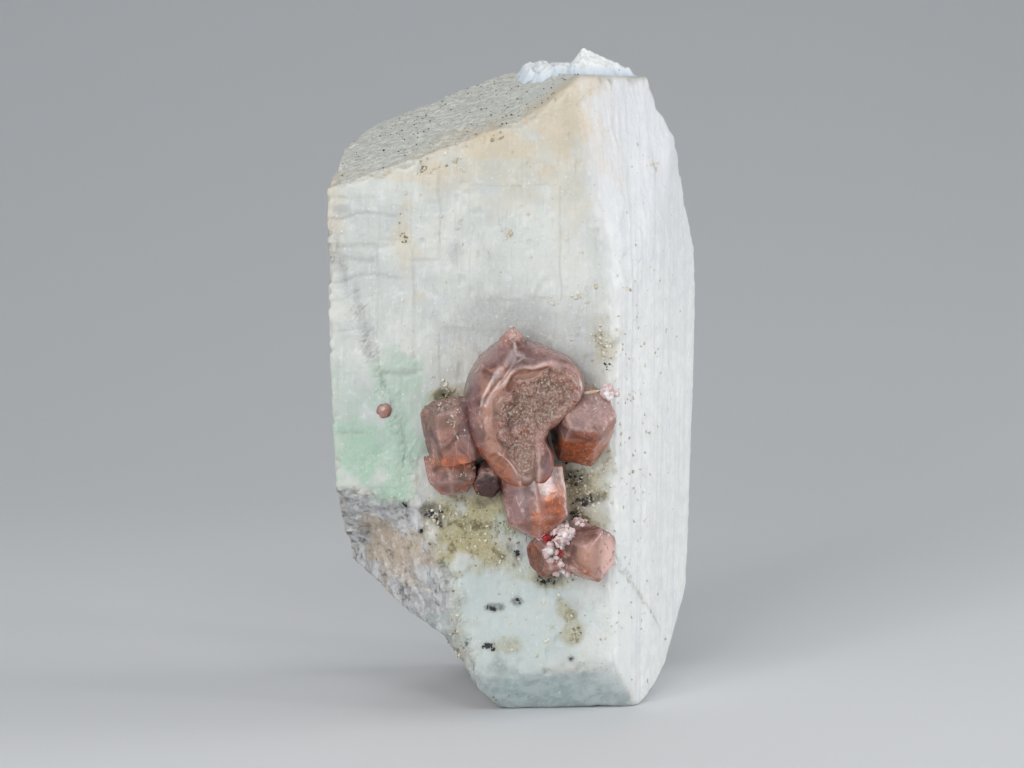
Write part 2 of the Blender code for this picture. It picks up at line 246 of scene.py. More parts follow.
def on_front(px, py):
    """Where a spot of the picture lies on the front face: millimetres across and up."""
    return 0.3 + (px - PICTURE_MIDDLE) * ACROSS_STEP, 1.23 + (PICTURE_FOOT - py) * UP_STEP


# Low plates left by growth on the front face: left, right, top and bottom as picture places, and
# how far each stands out. Then its thin cracks: how low in the picture, and from where to where.
PLATES = [(412, 440, 178, 262, 0.22), (378, 414, 246, 372, 0.16), (328, 379, 200, 300, -0.12),
          (440, 520, 330, 470, -0.10), (470, 560, 190, 300, 0.10), (330, 400, 372, 486, 0.12)]
CRACKS = [(222, 330, 402), (246, 330, 392), (262, 336, 380), (281, 330, 404), (369, 376, 428),
          (333, 332, 372), (430, 336, 372)]


def plates(points):
    """The plates' heights, and 1 along their borders, which are a little wavy."""
    x, z = points[..., 0], points[..., 2]
    wavy_x = x + 0.35 * lattice_noise(points / 5.0, 3)
    wavy_z = z + 0.35 * lattice_noise(points / 6.0, 4)
    height, border = np.zeros(x.shape), np.zeros(x.shape)
    for left, right, top, bottom, rise in PLATES:
        x0, z1 = on_front(left, top)
        x1, z0 = on_front(right, bottom)
        inside = smooth_step(x0 - 0.22, x0 + 0.22, wavy_x)
        inside = inside * smooth_step(x1 + 0.22, x1 - 0.22, wavy_x)
        inside = inside * smooth_step(z0 - 0.3, z0 + 0.3, wavy_z)
        inside = inside * smooth_step(z1 + 0.3, z1 - 0.3, wavy_z)
        height = height + rise * inside
        border = np.maximum(border, 4.0 * inside * (1.0 - inside))
    return height, border


def front_relief(points):
    """The front face: its plates, slow waves, cracks, small pits and a few raised grains."""
    height = plates(points)[0] + 0.22 * lattice_noise(points / 15.0, 1)
    height = height + 0.05 * layered_noise(points / 2.6, 2) - 0.22 * crack_lines(points)
    pits = smooth_step(0.52, 0.80, lattice_noise(points / 1.9, 5))
    return height - 0.28 * pits + 0.10 * smooth_step(0.4, 0.8, lattice_noise(points / 1.1, 6))


def crack_lines(points):
    """1 along each thin wavy crack, falling to 0 beside it."""
    x, z = points[..., 0], points[..., 2]
    lines = np.zeros(x.shape)
    for index, (level, start, end) in enumerate(CRACKS):
        x0, z0 = on_front(start, level)
        x1, _ = on_front(end, level)
        wave = z0 + 1.3 * lattice_noise(np.stack([x / 7.0, x * 0, x * 0 + index], axis=-1), 8)
        reach = smooth_step(x0 - 1, x0 + 2, x) * smooth_step(x1 + 1, x1 - 3, x)
        lines = np.maximum(lines, reach * np.exp(-((z - wave) / 0.35) ** 2))
    return lines


def side_relief(points):
    """Upright grooves: noise that hardly changes with height, and sugary grains over it."""
    grooves = layered_noise(stretched(points, (2.6, 4.2, 120.0)), 11, 3)
    steps = 0.22 * smooth_step(-0.06, 0.06, lattice_noise(stretched(points, (5.5, 8.0, 260.0)), 12))
    grains = smooth_step(0.15, 0.8, lattice_noise(points / 0.85, 13))
    dents = smooth_step(0.30, 0.60, layered_noise(stretched(points, (5.0, 5.0, 9.0)), 15, 2))
    waves = 0.10 * lattice_noise(points / 9.0, 14)
    return 0.11 * grooves + steps - 0.10 + 0.10 * grains + waves - 0.16 * dents


def roof_relief(points):
    """A dull, finely hatched face: short ridges that run along the slope, and pits."""
    hatch = layered_noise(stretched(points, (1.9, 0.8, 0.9), -20.0), 21, 2)
    pits = smooth_step(0.45, 0.75, lattice_noise(points / 1.25, 22))
    return 0.13 * hatch - 0.24 * pits + 0.22 * lattice_noise(points / 8.0, 23)


def chips(points, seed):
    """Chipped steps: each cell of a crooked lattice has its own height and its own tilt."""
    crooked = np.stack([lattice_noise(points * 1.3, seed + k) for k in (1, 2, 3)], axis=-1)
    bent = points + 0.35 * crooked
    cell = np.floor(bent)
    inside = bent - cell - 0.5
    middle = cell + 0.5
    tilt = np.stack([lattice_noise(middle * 7.31 + k, seed) for k in (0.3, 11.7, 23.1)], axis=-1)
    return 0.5 * lattice_noise(middle * 5.17, seed) + 0.9 * (inside * tilt).sum(axis=-1)


LEDGES = 3.2


def break_relief(points):
    """Splinters that run down to the right, on steps: noise cut into levels, then fine chips."""
    splinters = np.abs(layered_noise(stretched(points, (1.9, 2.4, 7.0), -28.0), 31, 3))
    levels = LEDGES * lattice_noise(stretched(points, (6.0, 6.5, 11.0), -28.0), 32)
    ledges = (np.floor(levels) + smooth_step(0.0, 0.30, levels - np.floor(levels))) / LEDGES
    chipped = chips(stretched(points, (3.2, 3.0, 5.5), -35.0), 34)
    chipped = chipped + 0.5 * chips(stretched(points, (1.5, 1.5, 2.4), -20.0), 36)
    crumbling = 0.20 * layered_noise(points / 1.1, 33)
    return 0.60 * ledges + 0.5 - 0.75 * splinters + chipped + crumbling


def facet_relief(points):
    """A smooth face with slow, very low waves."""
    return 0.05 * layered_noise(points / 3.0, 41) + 0.10 * lattice_noise(points / 12.0, 42)


def hidden_relief(points):
    """The back and the left: grooves and shallow steps like those of the sides that show."""
    steps = 0.22 * smooth_step(-0.05, 0.05, lattice_noise(stretched(points, (5.0, 5.0, 90.0)), 51))
    return side_relief(points) * 0.9 + steps - 0.2 + 0.12 * lattice_noise(points / 11.0, 52)


def flat_relief(points):
    """No relief at all."""
    return np.zeros(points.shape[:-1])


def shoulder_relief(points):
    """The broken steps at the upper right, given by their heights along the slope."""
    u = (points[..., 0] - 34.4) * -0.5 + (points[..., 2] - 110.5) * 0.86
    u = u + 0.15 * (points[..., 1] - 12.0)
    steps = np.interp(u, [-28.0, -13.3, -8.2, -1.6, 3.5, 9.6, 17.0],
                      [-9.6, -4.0, -3.2, -0.6, 0.1, -0.9, 0.6])
    broken = 0.75 * chips(stretched(points, (3.4, 9.0, 3.4)), 57)
    return steps + side_relief(points) * 0.7 + broken + 0.35 * lattice_noise(points / 2.2, 55)


def under_relief(points):
    """The break's underside, hollowed most about halfway down its slope."""
    u = (points[..., 0] + 21.0) * 0.712 - (points[..., 2] - 18.9) * 0.702
    hollow = np.interp(u, [-21.0, -2.0, 8.5, 16.0, 19.5, 30.0], [0.0, -0.9, -2.7, -1.3, -0.1, 0.0])
    return hollow + break_relief(points) * 0.45


# Each face of the block: its kind, a point on it, the way it looks, and its relief.
FACES = [
    ("front", (0, FRONT, 0), (0, -1, 0), front_relief),
    ("hidden", (0, BACK, 0), (0.02, 1, 0.03), hidden_relief),
    ("hidden", (LEFT, FRONT, 90), (-0.99, 0.12, -0.01), hidden_relief),
    ("hidden", (LEFT, FRONT, 75), (-0.99, 0.05, -0.044), hidden_relief),
    ("hidden", (-32.8, 6.0, 100), (-0.80, 0.60, -0.02), hidden_relief),
    ("hidden", (-16.0, BACK, 90), (-0.45, 0.89, 0.0), hidden_relief),
    ("side", (20.4, FRONT, 60), (0.873, -0.488, -0.004), side_relief),
    ("side", (20.4, FRONT, 84.5), (0.80, -0.60, 0.145), side_relief),
    ("side", (29.4, -3.4, 70), (0.945, -0.325, -0.012), side_relief),
    ("side", (RIGHT, 22.0, 78), (0.998, 0.02, -0.029), side_relief),
    ("hidden", (RIGHT - 3.6, BACK, 78), (0.72, 0.69, -0.02), hidden_relief),
    ("side", (35.4, 12.0, 17.5), (0.96, -0.10, -0.26), side_relief),
    ("side", (32.0, 6.0, 4.6), (0.74, -0.10, -0.66), side_relief),
    ("facet", (6.9, -10.4, 0), (0.07, -0.74, -0.67), facet_relief),
    ("sole", (0, 0, 0), (0, 0, -1), flat_relief),
    ("crown", (15, FRONT, 127.4), (0.035, 0.02, 1), facet_relief),
    ("roof", (-20.0, 13.6, 120.0), (-0.31, 0.55, 0.87), roof_relief),
    ("side", (34.4, 12.0, 110.5), (0.86, 0.16, 0.49), shoulder_relief),
    ("break", (-21.0, -8.6, 18.9), (-0.697, -0.087, -0.707), under_relief),
]
ROOF_SLOPES = [
    ("roof", (LEFT, FRONT, 105.0), (-0.355, -0.297, 1.0), roof_relief),
    ("crown", (2.3, FRONT, 118.0), (-0.80, -0.22, 1.0), facet_relief),
]
CORNER_BREAKS = [
    ("break", (-24.0, 1.4, 28.0), (-0.186, -0.613, -0.766), break_relief),
    ("break", (-15.0, -14.5, 22.5), (-0.689, -0.689, -0.224), break_relief),
]
FAR, RELIEF_BAND = 400.0, 9.0


def plane_reach(starts, rays, point, outward):
    """How far each ray goes to the plane of a face, and how squarely it meets that plane."""
    normal = np.array(outward, float) / np.linalg.norm(outward)
    towards = rays @ normal
    reach = ((np.array(point) - starts) @ normal) / np.where(towards > 1e-4, towards, 1.0)
    return np.where(towards > 1e-4, np.clip(reach, 0.0, FAR), FAR), towards


def relieved(starts, rays, face, reach, towards, surface):
    """A face's reach corrected twice by its relief, where the face lies near the surface."""
    near = np.abs(reach - surface) < RELIEF_BAND
    refined = reach[near]
    for _ in range(2):
        hit = starts[near] + rays[near] * refined[..., None]
        refined = reach[near] + face[3](hit) / np.clip(towards[near], 0.30, 1.0)
    corrected = reach.copy()
    corrected[near] = refined
    return corrected


def soft_least(reaches, softness):
    """The smallest of several distances, with the corners between them rounded."""
    least = reaches.min(axis=0)
    spread = np.exp(-(reaches - least) / softness).sum(axis=0)
    return least - softness * np.log(spread)


def block_rays(columns, sole_rows, wall_rows, roof_rows):
    """Rays that leave the block's slanted axis: down round its foot, level up its walls, then up
    over its roof. They lie closer together towards the front face."""
    even = np.linspace(0.0, 2 * math.pi, columns, endpoint=False)
    turn = even - 0.35 * np.cos(even)
    dive = np.concatenate([-90.0 * (1 - np.arange(1, sole_rows) / sole_rows) ** 1.2,
                           np.zeros(wall_rows),
                           90.0 * (np.arange(1, roof_rows) / roof_rows) ** 1.25])
    height = np.concatenate([np.full(sole_rows - 1, AXIS_FOOT),
                             np.linspace(AXIS_FOOT, AXIS_HEAD, wall_rows),
                             np.full(roof_rows - 1, AXIS_HEAD)])
    level, upward = np.cos(np.radians(dive))[:, None], np.sin(np.radians(dive))[:, None]
    rays = np.stack(np.broadcast_arrays(level * np.cos(turn), level * np.sin(turn), upward), -1)
    starts = np.stack([np.interp(height, AXIS_STATIONS, AXIS_X),
                       np.interp(height, AXIS_STATIONS, AXIS_Y), height], axis=-1)
    return np.broadcast_to(starts[:, None, :], rays.shape), rays


starts, rays = block_rays(columns=600, sole_rows=38, wall_rows=176, roof_rows=116)
every_face = FACES + ROOF_SLOPES + CORNER_BREAKS
planes = [plane_reach(starts, rays, face[1], face[2]) for face in every_face]
roof_slots = slice(len(FACES), len(FACES) + len(ROOF_SLOPES))
corner_slots = slice(roof_slots.stop, len(every_face))


def block_limits(distances, softness):
    """Every limit of the block. It reaches up to the higher roof slope, and out to the farther
    face of the broken corner; all its other faces simply cut it off."""
    under_roof = -soft_least(-distances[roof_slots], softness)
    inside_corner = -soft_least(-distances[corner_slots], softness)
    return np.concatenate([distances[:len(FACES)], [under_roof, inside_corner]])


flat_distances = np.array([reach for reach, _ in planes])
surface = block_limits(flat_distances, 0.01).min(axis=0)
distances = np.array([relieved(starts, rays, face, *plane, surface)
                      for face, plane in zip(every_face, planes)])
every_limit = block_limits(distances, 0.5)
is_side = [index for index, face in enumerate(FACES) if face[0] == "side"]
off_edge = np.abs(every_limit[0] - every_limit[is_side].min(axis=0))
wear = EDGE_WEAR + FRONT_EDGE_WEAR * np.exp(-off_edge / 2.5)
reach = soft_least(every_limit, wear)

# Small chips out of the edges: where faces of two kinds are almost equally far, noise bites into
# both. The edge between the front and the grooved side is worn smooth, so it has few.
kinds = np.array([face[0] for face in FACES] + ["roof", "break"])
of_kinds = np.sort([every_limit[kinds == kind].min(axis=0) for kind in np.unique(kinds)], axis=0)
near_edge = np.exp(-(of_kinds[1] - of_kinds[0]) / 1.1)
near_edge = near_edge * (1.0 - 0.85 * np.exp(-off_edge / 2.0))
hits = starts + rays * reach[..., None]
off_sole = smooth_step(0.3, 2.0, hits[..., 2])
bites = smooth_step(0.05, 0.75, layered_noise(hits / 2.3, 61, 2))
bites = bites + 0.8 * smooth_step(0.35, 0.55, lattice_noise(hits / 4.1, 62))
reach = reach - EDGE_BITE * near_edge * bites * off_sole
hits = starts + rays * reach[..., None]

# Nothing of the dressed part passes the box that its solids fill.
box_low = np.array(cad_box[0]) / MM - DRAWING_ORIGIN
box_high = np.array(cad_box[1]) / MM - DRAWING_ORIGIN
hits = np.clip(hits, box_low, box_high)

feldspar = mesh_from_grid("milky_feldspar_crystal", hits, closed_round=True)


def with_poles(values):
    """A grid's values with those of its two added poles."""
    return np.concatenate([values.ravel(), [values[0].mean(), values[-1].mean()]])


def mark(piece, name, values):
    """Stores one number for each point of a piece, for its material to read."""
    layer = piece.data.attributes.new(name, "FLOAT", "POINT")
    layer.data.foreach_set("value", np.ascontiguousarray(values, dtype=np.float32))


def kind_share(kind):
    """How much each point belongs to the faces of one kind, from 0 to 1."""
    nearness = np.exp(-np.abs(distances - reach) / 0.5)
    of_kind = np.array([face[0] == kind for face in every_face])
    return nearness[of_kind].sum(axis=0) / np.maximum(nearness.sum(axis=0), 1e-9)


def blotches(points, spots, raggedness, seed):
    """Soft-edged stains. Each spot is a picture place with its half-width, half-height and
    strength; its edge is pushed in and out by noise."""
    ragged = layered_noise(points / 3.2, seed, 3) * raggedness
    total = np.zeros(points.shape[:-1])
    for px, py, wide, high, strength in spots:
        x, z = on_front(px, py)
        aside, above = points[..., 0] - x, points[..., 2] - z
        far = np.hypot(aside / (wide * SPOT_STEP), above / (high * SPOT_STEP))
        total = np.maximum(total, strength * smooth_step(1.25, 0.45, far + ragged))
    return total


for kind in ("roof", "side", "break", "facet", "crown"):
    mark(feldspar, kind + "_face", with_poles(kind_share(kind)))

# The front face's stains, with grey painted shade round the apatites, painted light towards its
# lower right, and mud darkened under the apatites as painted shade.
MINT = [(366, 444, 34, 44, 1.0), (392, 452, 34, 52, 0.85), (398, 398, 32, 42, 0.60),
        (394, 484, 26, 24, 0.95), (348, 404, 22, 40, 0.30), (495, 520, 40, 22, 0.45)]
TURQUOISE = [(512, 625, 76, 90, 0.9), (545, 590, 44, 50, 0.5), (520, 690, 110, 26, 0.5)]
# Olive mud; its spots just under the apatites are also painted shade.
MUD_AND_SHADE = [(468, 524, 48, 36, 1.0), (445, 510, 24, 24, 0.8), (488, 508, 26, 24, 1.0),
       (484, 545, 34, 22, 0.9), (500, 558, 30, 14, 0.5), (548, 575, 34, 12, 0.7),
       (578, 490, 24, 36, 0.9), (598, 470, 18, 26, 0.5), (590, 515, 22, 16, 0.5),
       (450, 398, 16, 14, 0.7), (606, 352, 14, 26, 0.35), (438, 470, 12, 30, 0.5),
       (455, 655, 10, 60, 0.25), (568, 612, 12, 14, 0.7), (572, 632, 14, 12, 0.7),
       (500, 645, 22, 9, 0.5)]
TAN = [(562, 125, 44, 56, 0.9), (520, 160, 120, 50, 0.42), (474, 546, 30, 12, 0.9),
       (488, 498, 32, 14, 0.6), (500, 150, 70, 18, 0.9), (420, 180, 60, 10, 0.6),
       (405, 240, 12, 42, 0.5), (404, 228, 8, 18, 0.6), (440, 176, 30, 10, 0.8),
       (490, 142, 14, 9, 1.0), (420, 300, 12, 8, 0.4), (480, 178, 60, 9, 0.45),
       (590, 90, 44, 18, 0.7), (332, 205, 12, 60, 0.45), (600, 345, 16, 22, 0.35),
       (570, 185, 22, 60, 0.35), (452, 380, 20, 40, 0.25)]
# Grey painted shade, most of it round the apatites.
PAINTED_SHADE_PATCHES = [(575, 362, 30, 24, 0.6), (566, 350, 24, 16, 0.6), (500, 338, 26, 9, 0.4),
        (456, 255, 8, 12, 0.8), (342, 213, 9, 5, 1.0), (428, 400, 22, 12, 0.3),
        (500, 322, 62, 32, 0.95), (455, 350, 30, 46, 0.35), (548, 325, 46, 24, 0.45),
        (430, 480, 16, 40, 0.45)]
# Painted light: the front paler at its lower right and along its right edge.
PAINTED_LIGHT_SPOTS = [(612, 610, 40, 110, 1.0), (606, 440, 12, 70, 0.8), (560, 260, 60, 60, 0.35)]
SOOT = [(447, 396, 9, 9, 1.0), (428, 510, 14, 9, 1.0), (438, 520, 8, 9, 1.0),
        (405, 503, 5, 4, 1.0), (575, 478, 12, 14, 0.8), (585, 500, 16, 9, 0.9),
        (577, 512, 9, 9, 0.8), (546, 577, 14, 8, 0.8), (492, 606, 9, 4, 1.0),
        (518, 599, 6, 4, 0.9), (498, 662, 8, 14, 0.45), (486, 688, 5, 8, 0.4),
        (520, 552, 8, 12, 0.6), (488, 644, 14, 6, 0.9), (571, 658, 4, 3, 1.0),
        (421, 531, 5, 4, 0.9), (512, 545, 10, 6, 0.5), (484, 500, 10, 6, 0.6)]
facing_front = smooth_step(-8.0, -14.0, hits[..., 1])
for stain, spots, raggedness in (("mint", MINT, 0.42), ("turquoise", TURQUOISE, 0.35),
                                 ("mud_and_shade", MUD_AND_SHADE, 0.50), ("tan", TAN, 0.45), ("painted_shade_patch", PAINTED_SHADE_PATCHES, 0.25),
                                 ("soot", SOOT, 0.6), ("painted_light", PAINTED_LIGHT_SPOTS, 0.3)):
    mark(feldspar, stain, with_poles(blotches(hits, spots, raggedness, 71) * facing_front))
mark(feldspar, "crack", with_poles(crack_lines(hits) * facing_front))
mark(feldspar, "seam", with_poles(plates(hits)[1] * facing_front))
mark(feldspar, "edge", with_poles(near_edge * off_sole))


def node(tree, kind, inputs=None, **settings):
    """A shader node with its settings made and its inputs set or linked."""
    made = tree.nodes.new(kind)
    for key, value in settings.items():
        setattr(made, key, value)
    for key, value in (inputs or {}).items():
        if isinstance(value, bpy.types.NodeSocket):
            tree.links.new(value, made.inputs[key])
        else:
            made.inputs[key].default_value = value
    return made


def tinted(tree, under, over, amount):
    """One colour laid over another by an amount."""
    mixer = node(tree, "ShaderNodeMix", data_type="RGBA")
    for key, value in ((0, amount), (6, under), (7, over)):
        if isinstance(value, bpy.types.NodeSocket):
            tree.links.new(value, mixer.inputs[key])
        else:
            mixer.inputs[key].default_value = value if key == 0 else (*value, 1.0)
    return mixer.outputs[2]


def reckoned(tree, operation, first, second=0.0, third=0.0):
    """Shader values multiplied, added or the like, kept from 0 to 1 unless they may be negative."""
    return node(tree, "ShaderNodeMath", {0: first, 1: second, 2: third}, operation=operation,
                use_clamp=operation not in ("SUBTRACT", "ABSOLUTE")).outputs[0]


def ranged(tree, value, low, high, to_low=0.0, to_high=1.0):
    """A value carried smoothly from one range to another, and held at its ends."""
    return node(tree, "ShaderNodeMapRange", {0: value, 1: low, 2: high, 3: to_low, 4: to_high},
                interpolation_type="SMOOTHSTEP").outputs[0]


def marked(tree, name):
    """The numbers that a piece's points were marked with."""
    return node(tree, "ShaderNodeAttribute", attribute_name=name).outputs["Fac"]


def noise(tree, where, scale, detail, roughness=0.5, distortion=0.0):
    """Solid noise about 0.5 over a place."""
    return node(tree, "ShaderNodeTexNoise", {"Vector": where, "Scale": scale, "Detail": detail,
                                             "Roughness": roughness,
                                             "Distortion": distortion}).outputs[0]


def squeezed(tree, where, scale, turn=0.0):
    """A place multiplied by a scale along x, y and z, and turned about y by some radians."""
    return node(tree, "ShaderNodeMapping", {"Vector": where, "Scale": scale,
                                            "Rotation": (0.0, turn, 0.0)}).outputs[0]


def laid_over(tree, colour, *layers):
    """A colour with others laid over it. Each layer: its colour, where it shows, how strongly."""
    for over, shows, strength in layers:
        colour = tinted(tree, colour, over, reckoned(tree, "MULTIPLY", shows, strength))
    return colour


def settle(shader, values):
    """Sets those of a shader's own sockets that are the same all over."""
    for socket, value in values.items():
        shader.inputs[socket].default_value = value


def stone_grain_group():
    """Mineral texture shared by all the pieces: broad clouds, fine grain, pale flecks and dark
    flecks, all from solid noise over the piece's own place in millimetres."""
    group = bpy.data.node_groups.new("stone_grain", "ShaderNodeTree")
    group.interface.new_socket("Place", in_out="INPUT", socket_type="NodeSocketVector")
    for name, value in (("Cloud size", 12.0), ("Grain size", 1.0), ("Fleck size", 1.6)):
        socket = group.interface.new_socket(name, in_out="INPUT", socket_type="NodeSocketFloat")
        socket.default_value = value
    for name in ("Clouds", "Grain", "Pale flecks", "Dark flecks"):
        group.interface.new_socket(name, in_out="OUTPUT", socket_type="NodeSocketFloat")
    start = group.nodes.new("NodeGroupInput")
    end = group.nodes.new("NodeGroupOutput")
    sizes = [reckoned(group, "DIVIDE", 1.0, start.outputs[name])
             for name in ("Cloud size", "Grain size", "Fleck size")]
    for size in sizes:
        size.node.use_clamp = False
    place_in = start.outputs["Place"]
    clouds = noise(group, place_in, sizes[0], 5.0, 0.6, 0.3)
    grain = noise(group, place_in, sizes[1], 6.0, 0.72)
    cells = node(group, "ShaderNodeTexVoronoi", {"Vector": place_in, "Scale": sizes[2]})
    picks = node(group, "ShaderNodeSeparateColor", {0: cells.outputs["Color"]})
    ragged = reckoned(group, "MULTIPLY_ADD", grain, 0.9, cells.outputs["Distance"])
    spot = ranged(group, ragged, 0.72, 0.56)
    pale = reckoned(group, "MULTIPLY", spot, ranged(group, picks.outputs[0], 0.70, 0.90))
    dark = reckoned(group, "MULTIPLY", spot, ranged(group, picks.outputs[1], 0.86, 0.94))
    for name, value in (("Clouds", clouds), ("Grain", grain),
                        ("Pale flecks", pale), ("Dark flecks", dark)):
        group.links.new(value, end.inputs[name])
    return group


stone_grain = stone_grain_group()


def mineral(name, cloud_size, grain_size, fleck_size):
    """A new material, ready with its shader, its place in millimetres and its grain group."""
    material = bpy.data.materials.new(name)
    material.use_nodes = True
    tree = material.node_tree
    where = squeezed(tree, node(tree, "ShaderNodeTexCoord").outputs["Object"], (1 / MM,) * 3)
    grain = node(tree, "ShaderNodeGroup", node_tree=stone_grain)
    tree.links.new(where, grain.inputs["Place"])
    settle(grain, {"Cloud size": cloud_size, "Grain size": grain_size, "Fleck size": fleck_size})
    return material, tree, tree.nodes["Principled BSDF"], where, grain.outputs


milky, tree, shader, where, grain = mineral("milky_feldspar_stone", 13.0, 0.7, 0.8)
side, roof, broken = (marked(tree, name + "_face") for name in ("side", "roof", "break"))
fine = noise(tree, where, 0.35, 6.0, 0.7)
hairs = noise(tree, squeezed(tree, where, (1.0, 1.0, 0.10)), 1.3, 5.0, 0.7)
colour = tinted(tree, (0.56, 0.59, 0.57), (0.68, 0.69, 0.64),
                ranged(tree, grain["Clouds"], 0.36, 0.66))
colour = laid_over(tree, colour,
                   ((0.50, 0.51, 0.50), ranged(tree, fine, 0.53, 0.70), 0.55),
                   ((0.74, 0.76, 0.77), ranged(tree, fine, 0.47, 0.33), 0.60),
                   ((0.46, 0.47, 0.45), ranged(tree, hairs, 0.55, 0.72), 0.45),
                   ((0.78, 0.79, 0.77), ranged(tree, hairs, 0.44, 0.30), 0.45))

# The grooved side is painted whiter, partly its own sugary white and partly painted light from the
# right, with upright grey streaks. It is painted darker and bluer towards its top: painted shade.
side_colour = tinted(tree, (0.755, 0.765, 0.76), (0.84, 0.85, 0.835),
                     ranged(tree, fine, 0.62, 0.38))
colour = tinted(tree, colour, side_colour, side)
streaks = noise(tree, squeezed(tree, where, (1.6, 1.6, 0.025)), 0.55, 4.0)
side_streaks = reckoned(tree, "MULTIPLY", ranged(tree, streaks, 0.50, 0.62), side)
height = node(tree, "ShaderNodeSeparateXYZ", {"Vector": where}).outputs["Z"]
colour = laid_over(tree, colour,
                   ((0.60, 0.61, 0.65), side_streaks, 0.34),
                   ((0.62, 0.63, 0.67), side, ranged(tree, height, 60.0, 125.0, 0.0, 0.6)))

# The roof is dull and finely hatched, and the crown greyer than the front.
hatch = noise(tree, squeezed(tree, where, (0.35, 1.0, 1.0), 0.35), 1.5, 3.0)
roof_colour = tinted(tree, (0.50, 0.51, 0.48), (0.72, 0.72, 0.65), ranged(tree, hatch, 0.34, 0.64))
colour = tinted(tree, colour, roof_colour, roof)
colour = laid_over(tree, colour, ((0.60, 0.60, 0.54), marked(tree, "crown_face"), 0.7))

# The break has grey splinters with warm patches and pale chips, and dark painted shade for the gaps
# between splinters.
splinters = noise(tree, squeezed(tree, where, (1.0, 1.0, 0.16), -0.5), 0.42, 6.0, 0.62, 0.4)
break_colour = tinted(tree, (0.42, 0.42, 0.43), (0.68, 0.68, 0.68),
                      ranged(tree, splinters, 0.38, 0.62))
break_colour = laid_over(tree, break_colour,
                         ((0.57, 0.44, 0.31), ranged(tree, grain["Clouds"], 0.50, 0.62), 0.7),
                         ((0.14, 0.13, 0.12), ranged(tree, fine, 0.53, 0.66), 0.80),
                         ((0.82, 0.82, 0.80), ranged(tree, fine, 0.47, 0.34), 0.85))
colour = tinted(tree, colour, break_colour, broken)
# The bevel at the foot looks down, and is painted darker and bluer: painted shade.
shaded_facet_colour = tinted(tree, (0.38, 0.45, 0.46), (0.56, 0.62, 0.62), ranged(tree, fine, 0.42, 0.58))
colour = tinted(tree, colour, shaded_facet_colour, marked(tree, "facet_face"))
colour = laid_over(tree, colour, ((0.56, 0.50, 0.38), marked(tree, "edge"), 0.25))

# The stains, the painted shade and the painted light are broken up by the grain, and flecks and
# specks lie over everything.
broken_up = ranged(tree, grain["Grain"], 0.38, 0.60, 0.60, 1.0)
for stain, stain_colour, strength in (
        ("painted_light", (0.80, 0.83, 0.81), 0.80), ("mint", (0.36, 0.55, 0.41), 0.92),
        ("turquoise", (0.50, 0.63, 0.63), 0.60), ("tan", (0.65, 0.51, 0.31), 0.72),
        ("painted_shade_patch", (0.40, 0.41, 0.41), 0.72), ("mud_and_shade", (0.41, 0.36, 0.18), 1.0),
        ("soot", (0.06, 0.06, 0.06), 0.80), ("crack", (0.34, 0.34, 0.33), 0.50),
        ("seam", (0.42, 0.42, 0.37), 0.42)):
    amount = reckoned(tree, "MULTIPLY", marked(tree, stain), strength)
    colour = laid_over(tree, colour, (stain_colour, amount, broken_up))
# Dark mottling in the mud, also painted shade under the apatites.
dark_mud_and_shade = reckoned(tree, "MULTIPLY", marked(tree, "mud_and_shade"), ranged(tree, fine, 0.50, 0.63))
roof_dark = reckoned(tree, "MULTIPLY", ranged(tree, grain["Grain"], 0.56, 0.70), roof)
speckle = node(tree, "ShaderNodeTexVoronoi", {"Vector": where, "Scale": 1.05}).outputs["Distance"]
roof_specks = reckoned(tree, "MULTIPLY", ranged(tree, speckle, 0.26, 0.14), roof)
colour = laid_over(tree, colour,
                   ((0.15, 0.115, 0.045), dark_mud_and_shade, 0.85),
                   ((0.86, 0.87, 0.84), grain["Pale flecks"], 0.45),
                   ((0.22, 0.22, 0.20), roof_dark, 0.60),
                   ((0.06, 0.06, 0.06), roof_specks, 0.40),
                   ((0.26, 0.24, 0.21), grain["Dark flecks"], 0.45))
tree.links.new(colour, shader.inputs["Base Color"])
rough = ranged(tree, grain["Grain"], 0.30, 0.70, 0.30, 0.50)
dull = reckoned(tree, "MAXIMUM", roof, broken)
tree.links.new(reckoned(tree, "MULTIPLY_ADD", dull, 0.22, rough), shader.inputs["Roughness"])
crags = reckoned(tree, "MULTIPLY", reckoned(tree, "ADD", splinters, fine), broken)
crag_height = reckoned(tree, "MULTIPLY", crags, 0.80)
grain_height = reckoned(tree, "MULTIPLY_ADD", dull, 0.20, 0.12)
bumpy = reckoned(tree, "MULTIPLY_ADD", grain["Grain"], grain_height, crag_height)
bump = node(tree, "ShaderNodeBump", {"Height": bumpy, "Strength": 0.8, "Distance": 0.0013})
tree.links.new(bump.outputs[0], shader.inputs["Normal"])
settle(shader, {"Subsurface Weight": 0.22, "Subsurface Radius": (1.0, 0.95, 0.85),
                "Subsurface Scale": 0.0022, "IOR": 1.52})
feldspar.data.materials.append(milky)
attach(feldspar, "root")
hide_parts("feldspar_crystal")


# The albite crust.
# A jagged bluish white crust of thin blades grown over the crown, with one spike that stands
# above the rest. It sits on the top of the feldspar and is part of the same rigid piece.

CRUST_CENTRE = (12.9, 6.3)
CRUST_REACH = (12.0, 8.2)
BLADE_REACH, BLADE_COUNT, BLADE_HEIGHT = (11.0, 7.2), 120, 2.5
SPIKE_X, SPIKE_Y, SPIKE_HEIGHT = 14.3, 3.0, 5.3
CRUST_RIGHT = np.array([0.97, -0.24])
CRUST_BACK = np.array([0.24, 0.97])


def crown_height(x, y):
    """The height of the feldspar's top: the higher roof slope, cut off by the crown and ridge."""
    roof = 105.0 + 0.355 * (x - LEFT) + 0.297 * (y - FRONT)
    rise = 118.0 + 0.80 * (x - 2.3) + 0.22 * (y - FRONT)
    crown = 127.4 - 0.035 * (x - 15.0) - 0.02 * (y - FRONT)
    ridge = 120.0 + (0.31 * (x + 20.0) - 0.55 * (y - 13.6)) / 0.87
    return np.minimum(np.minimum(np.maximum(roof, rise), crown), ridge)


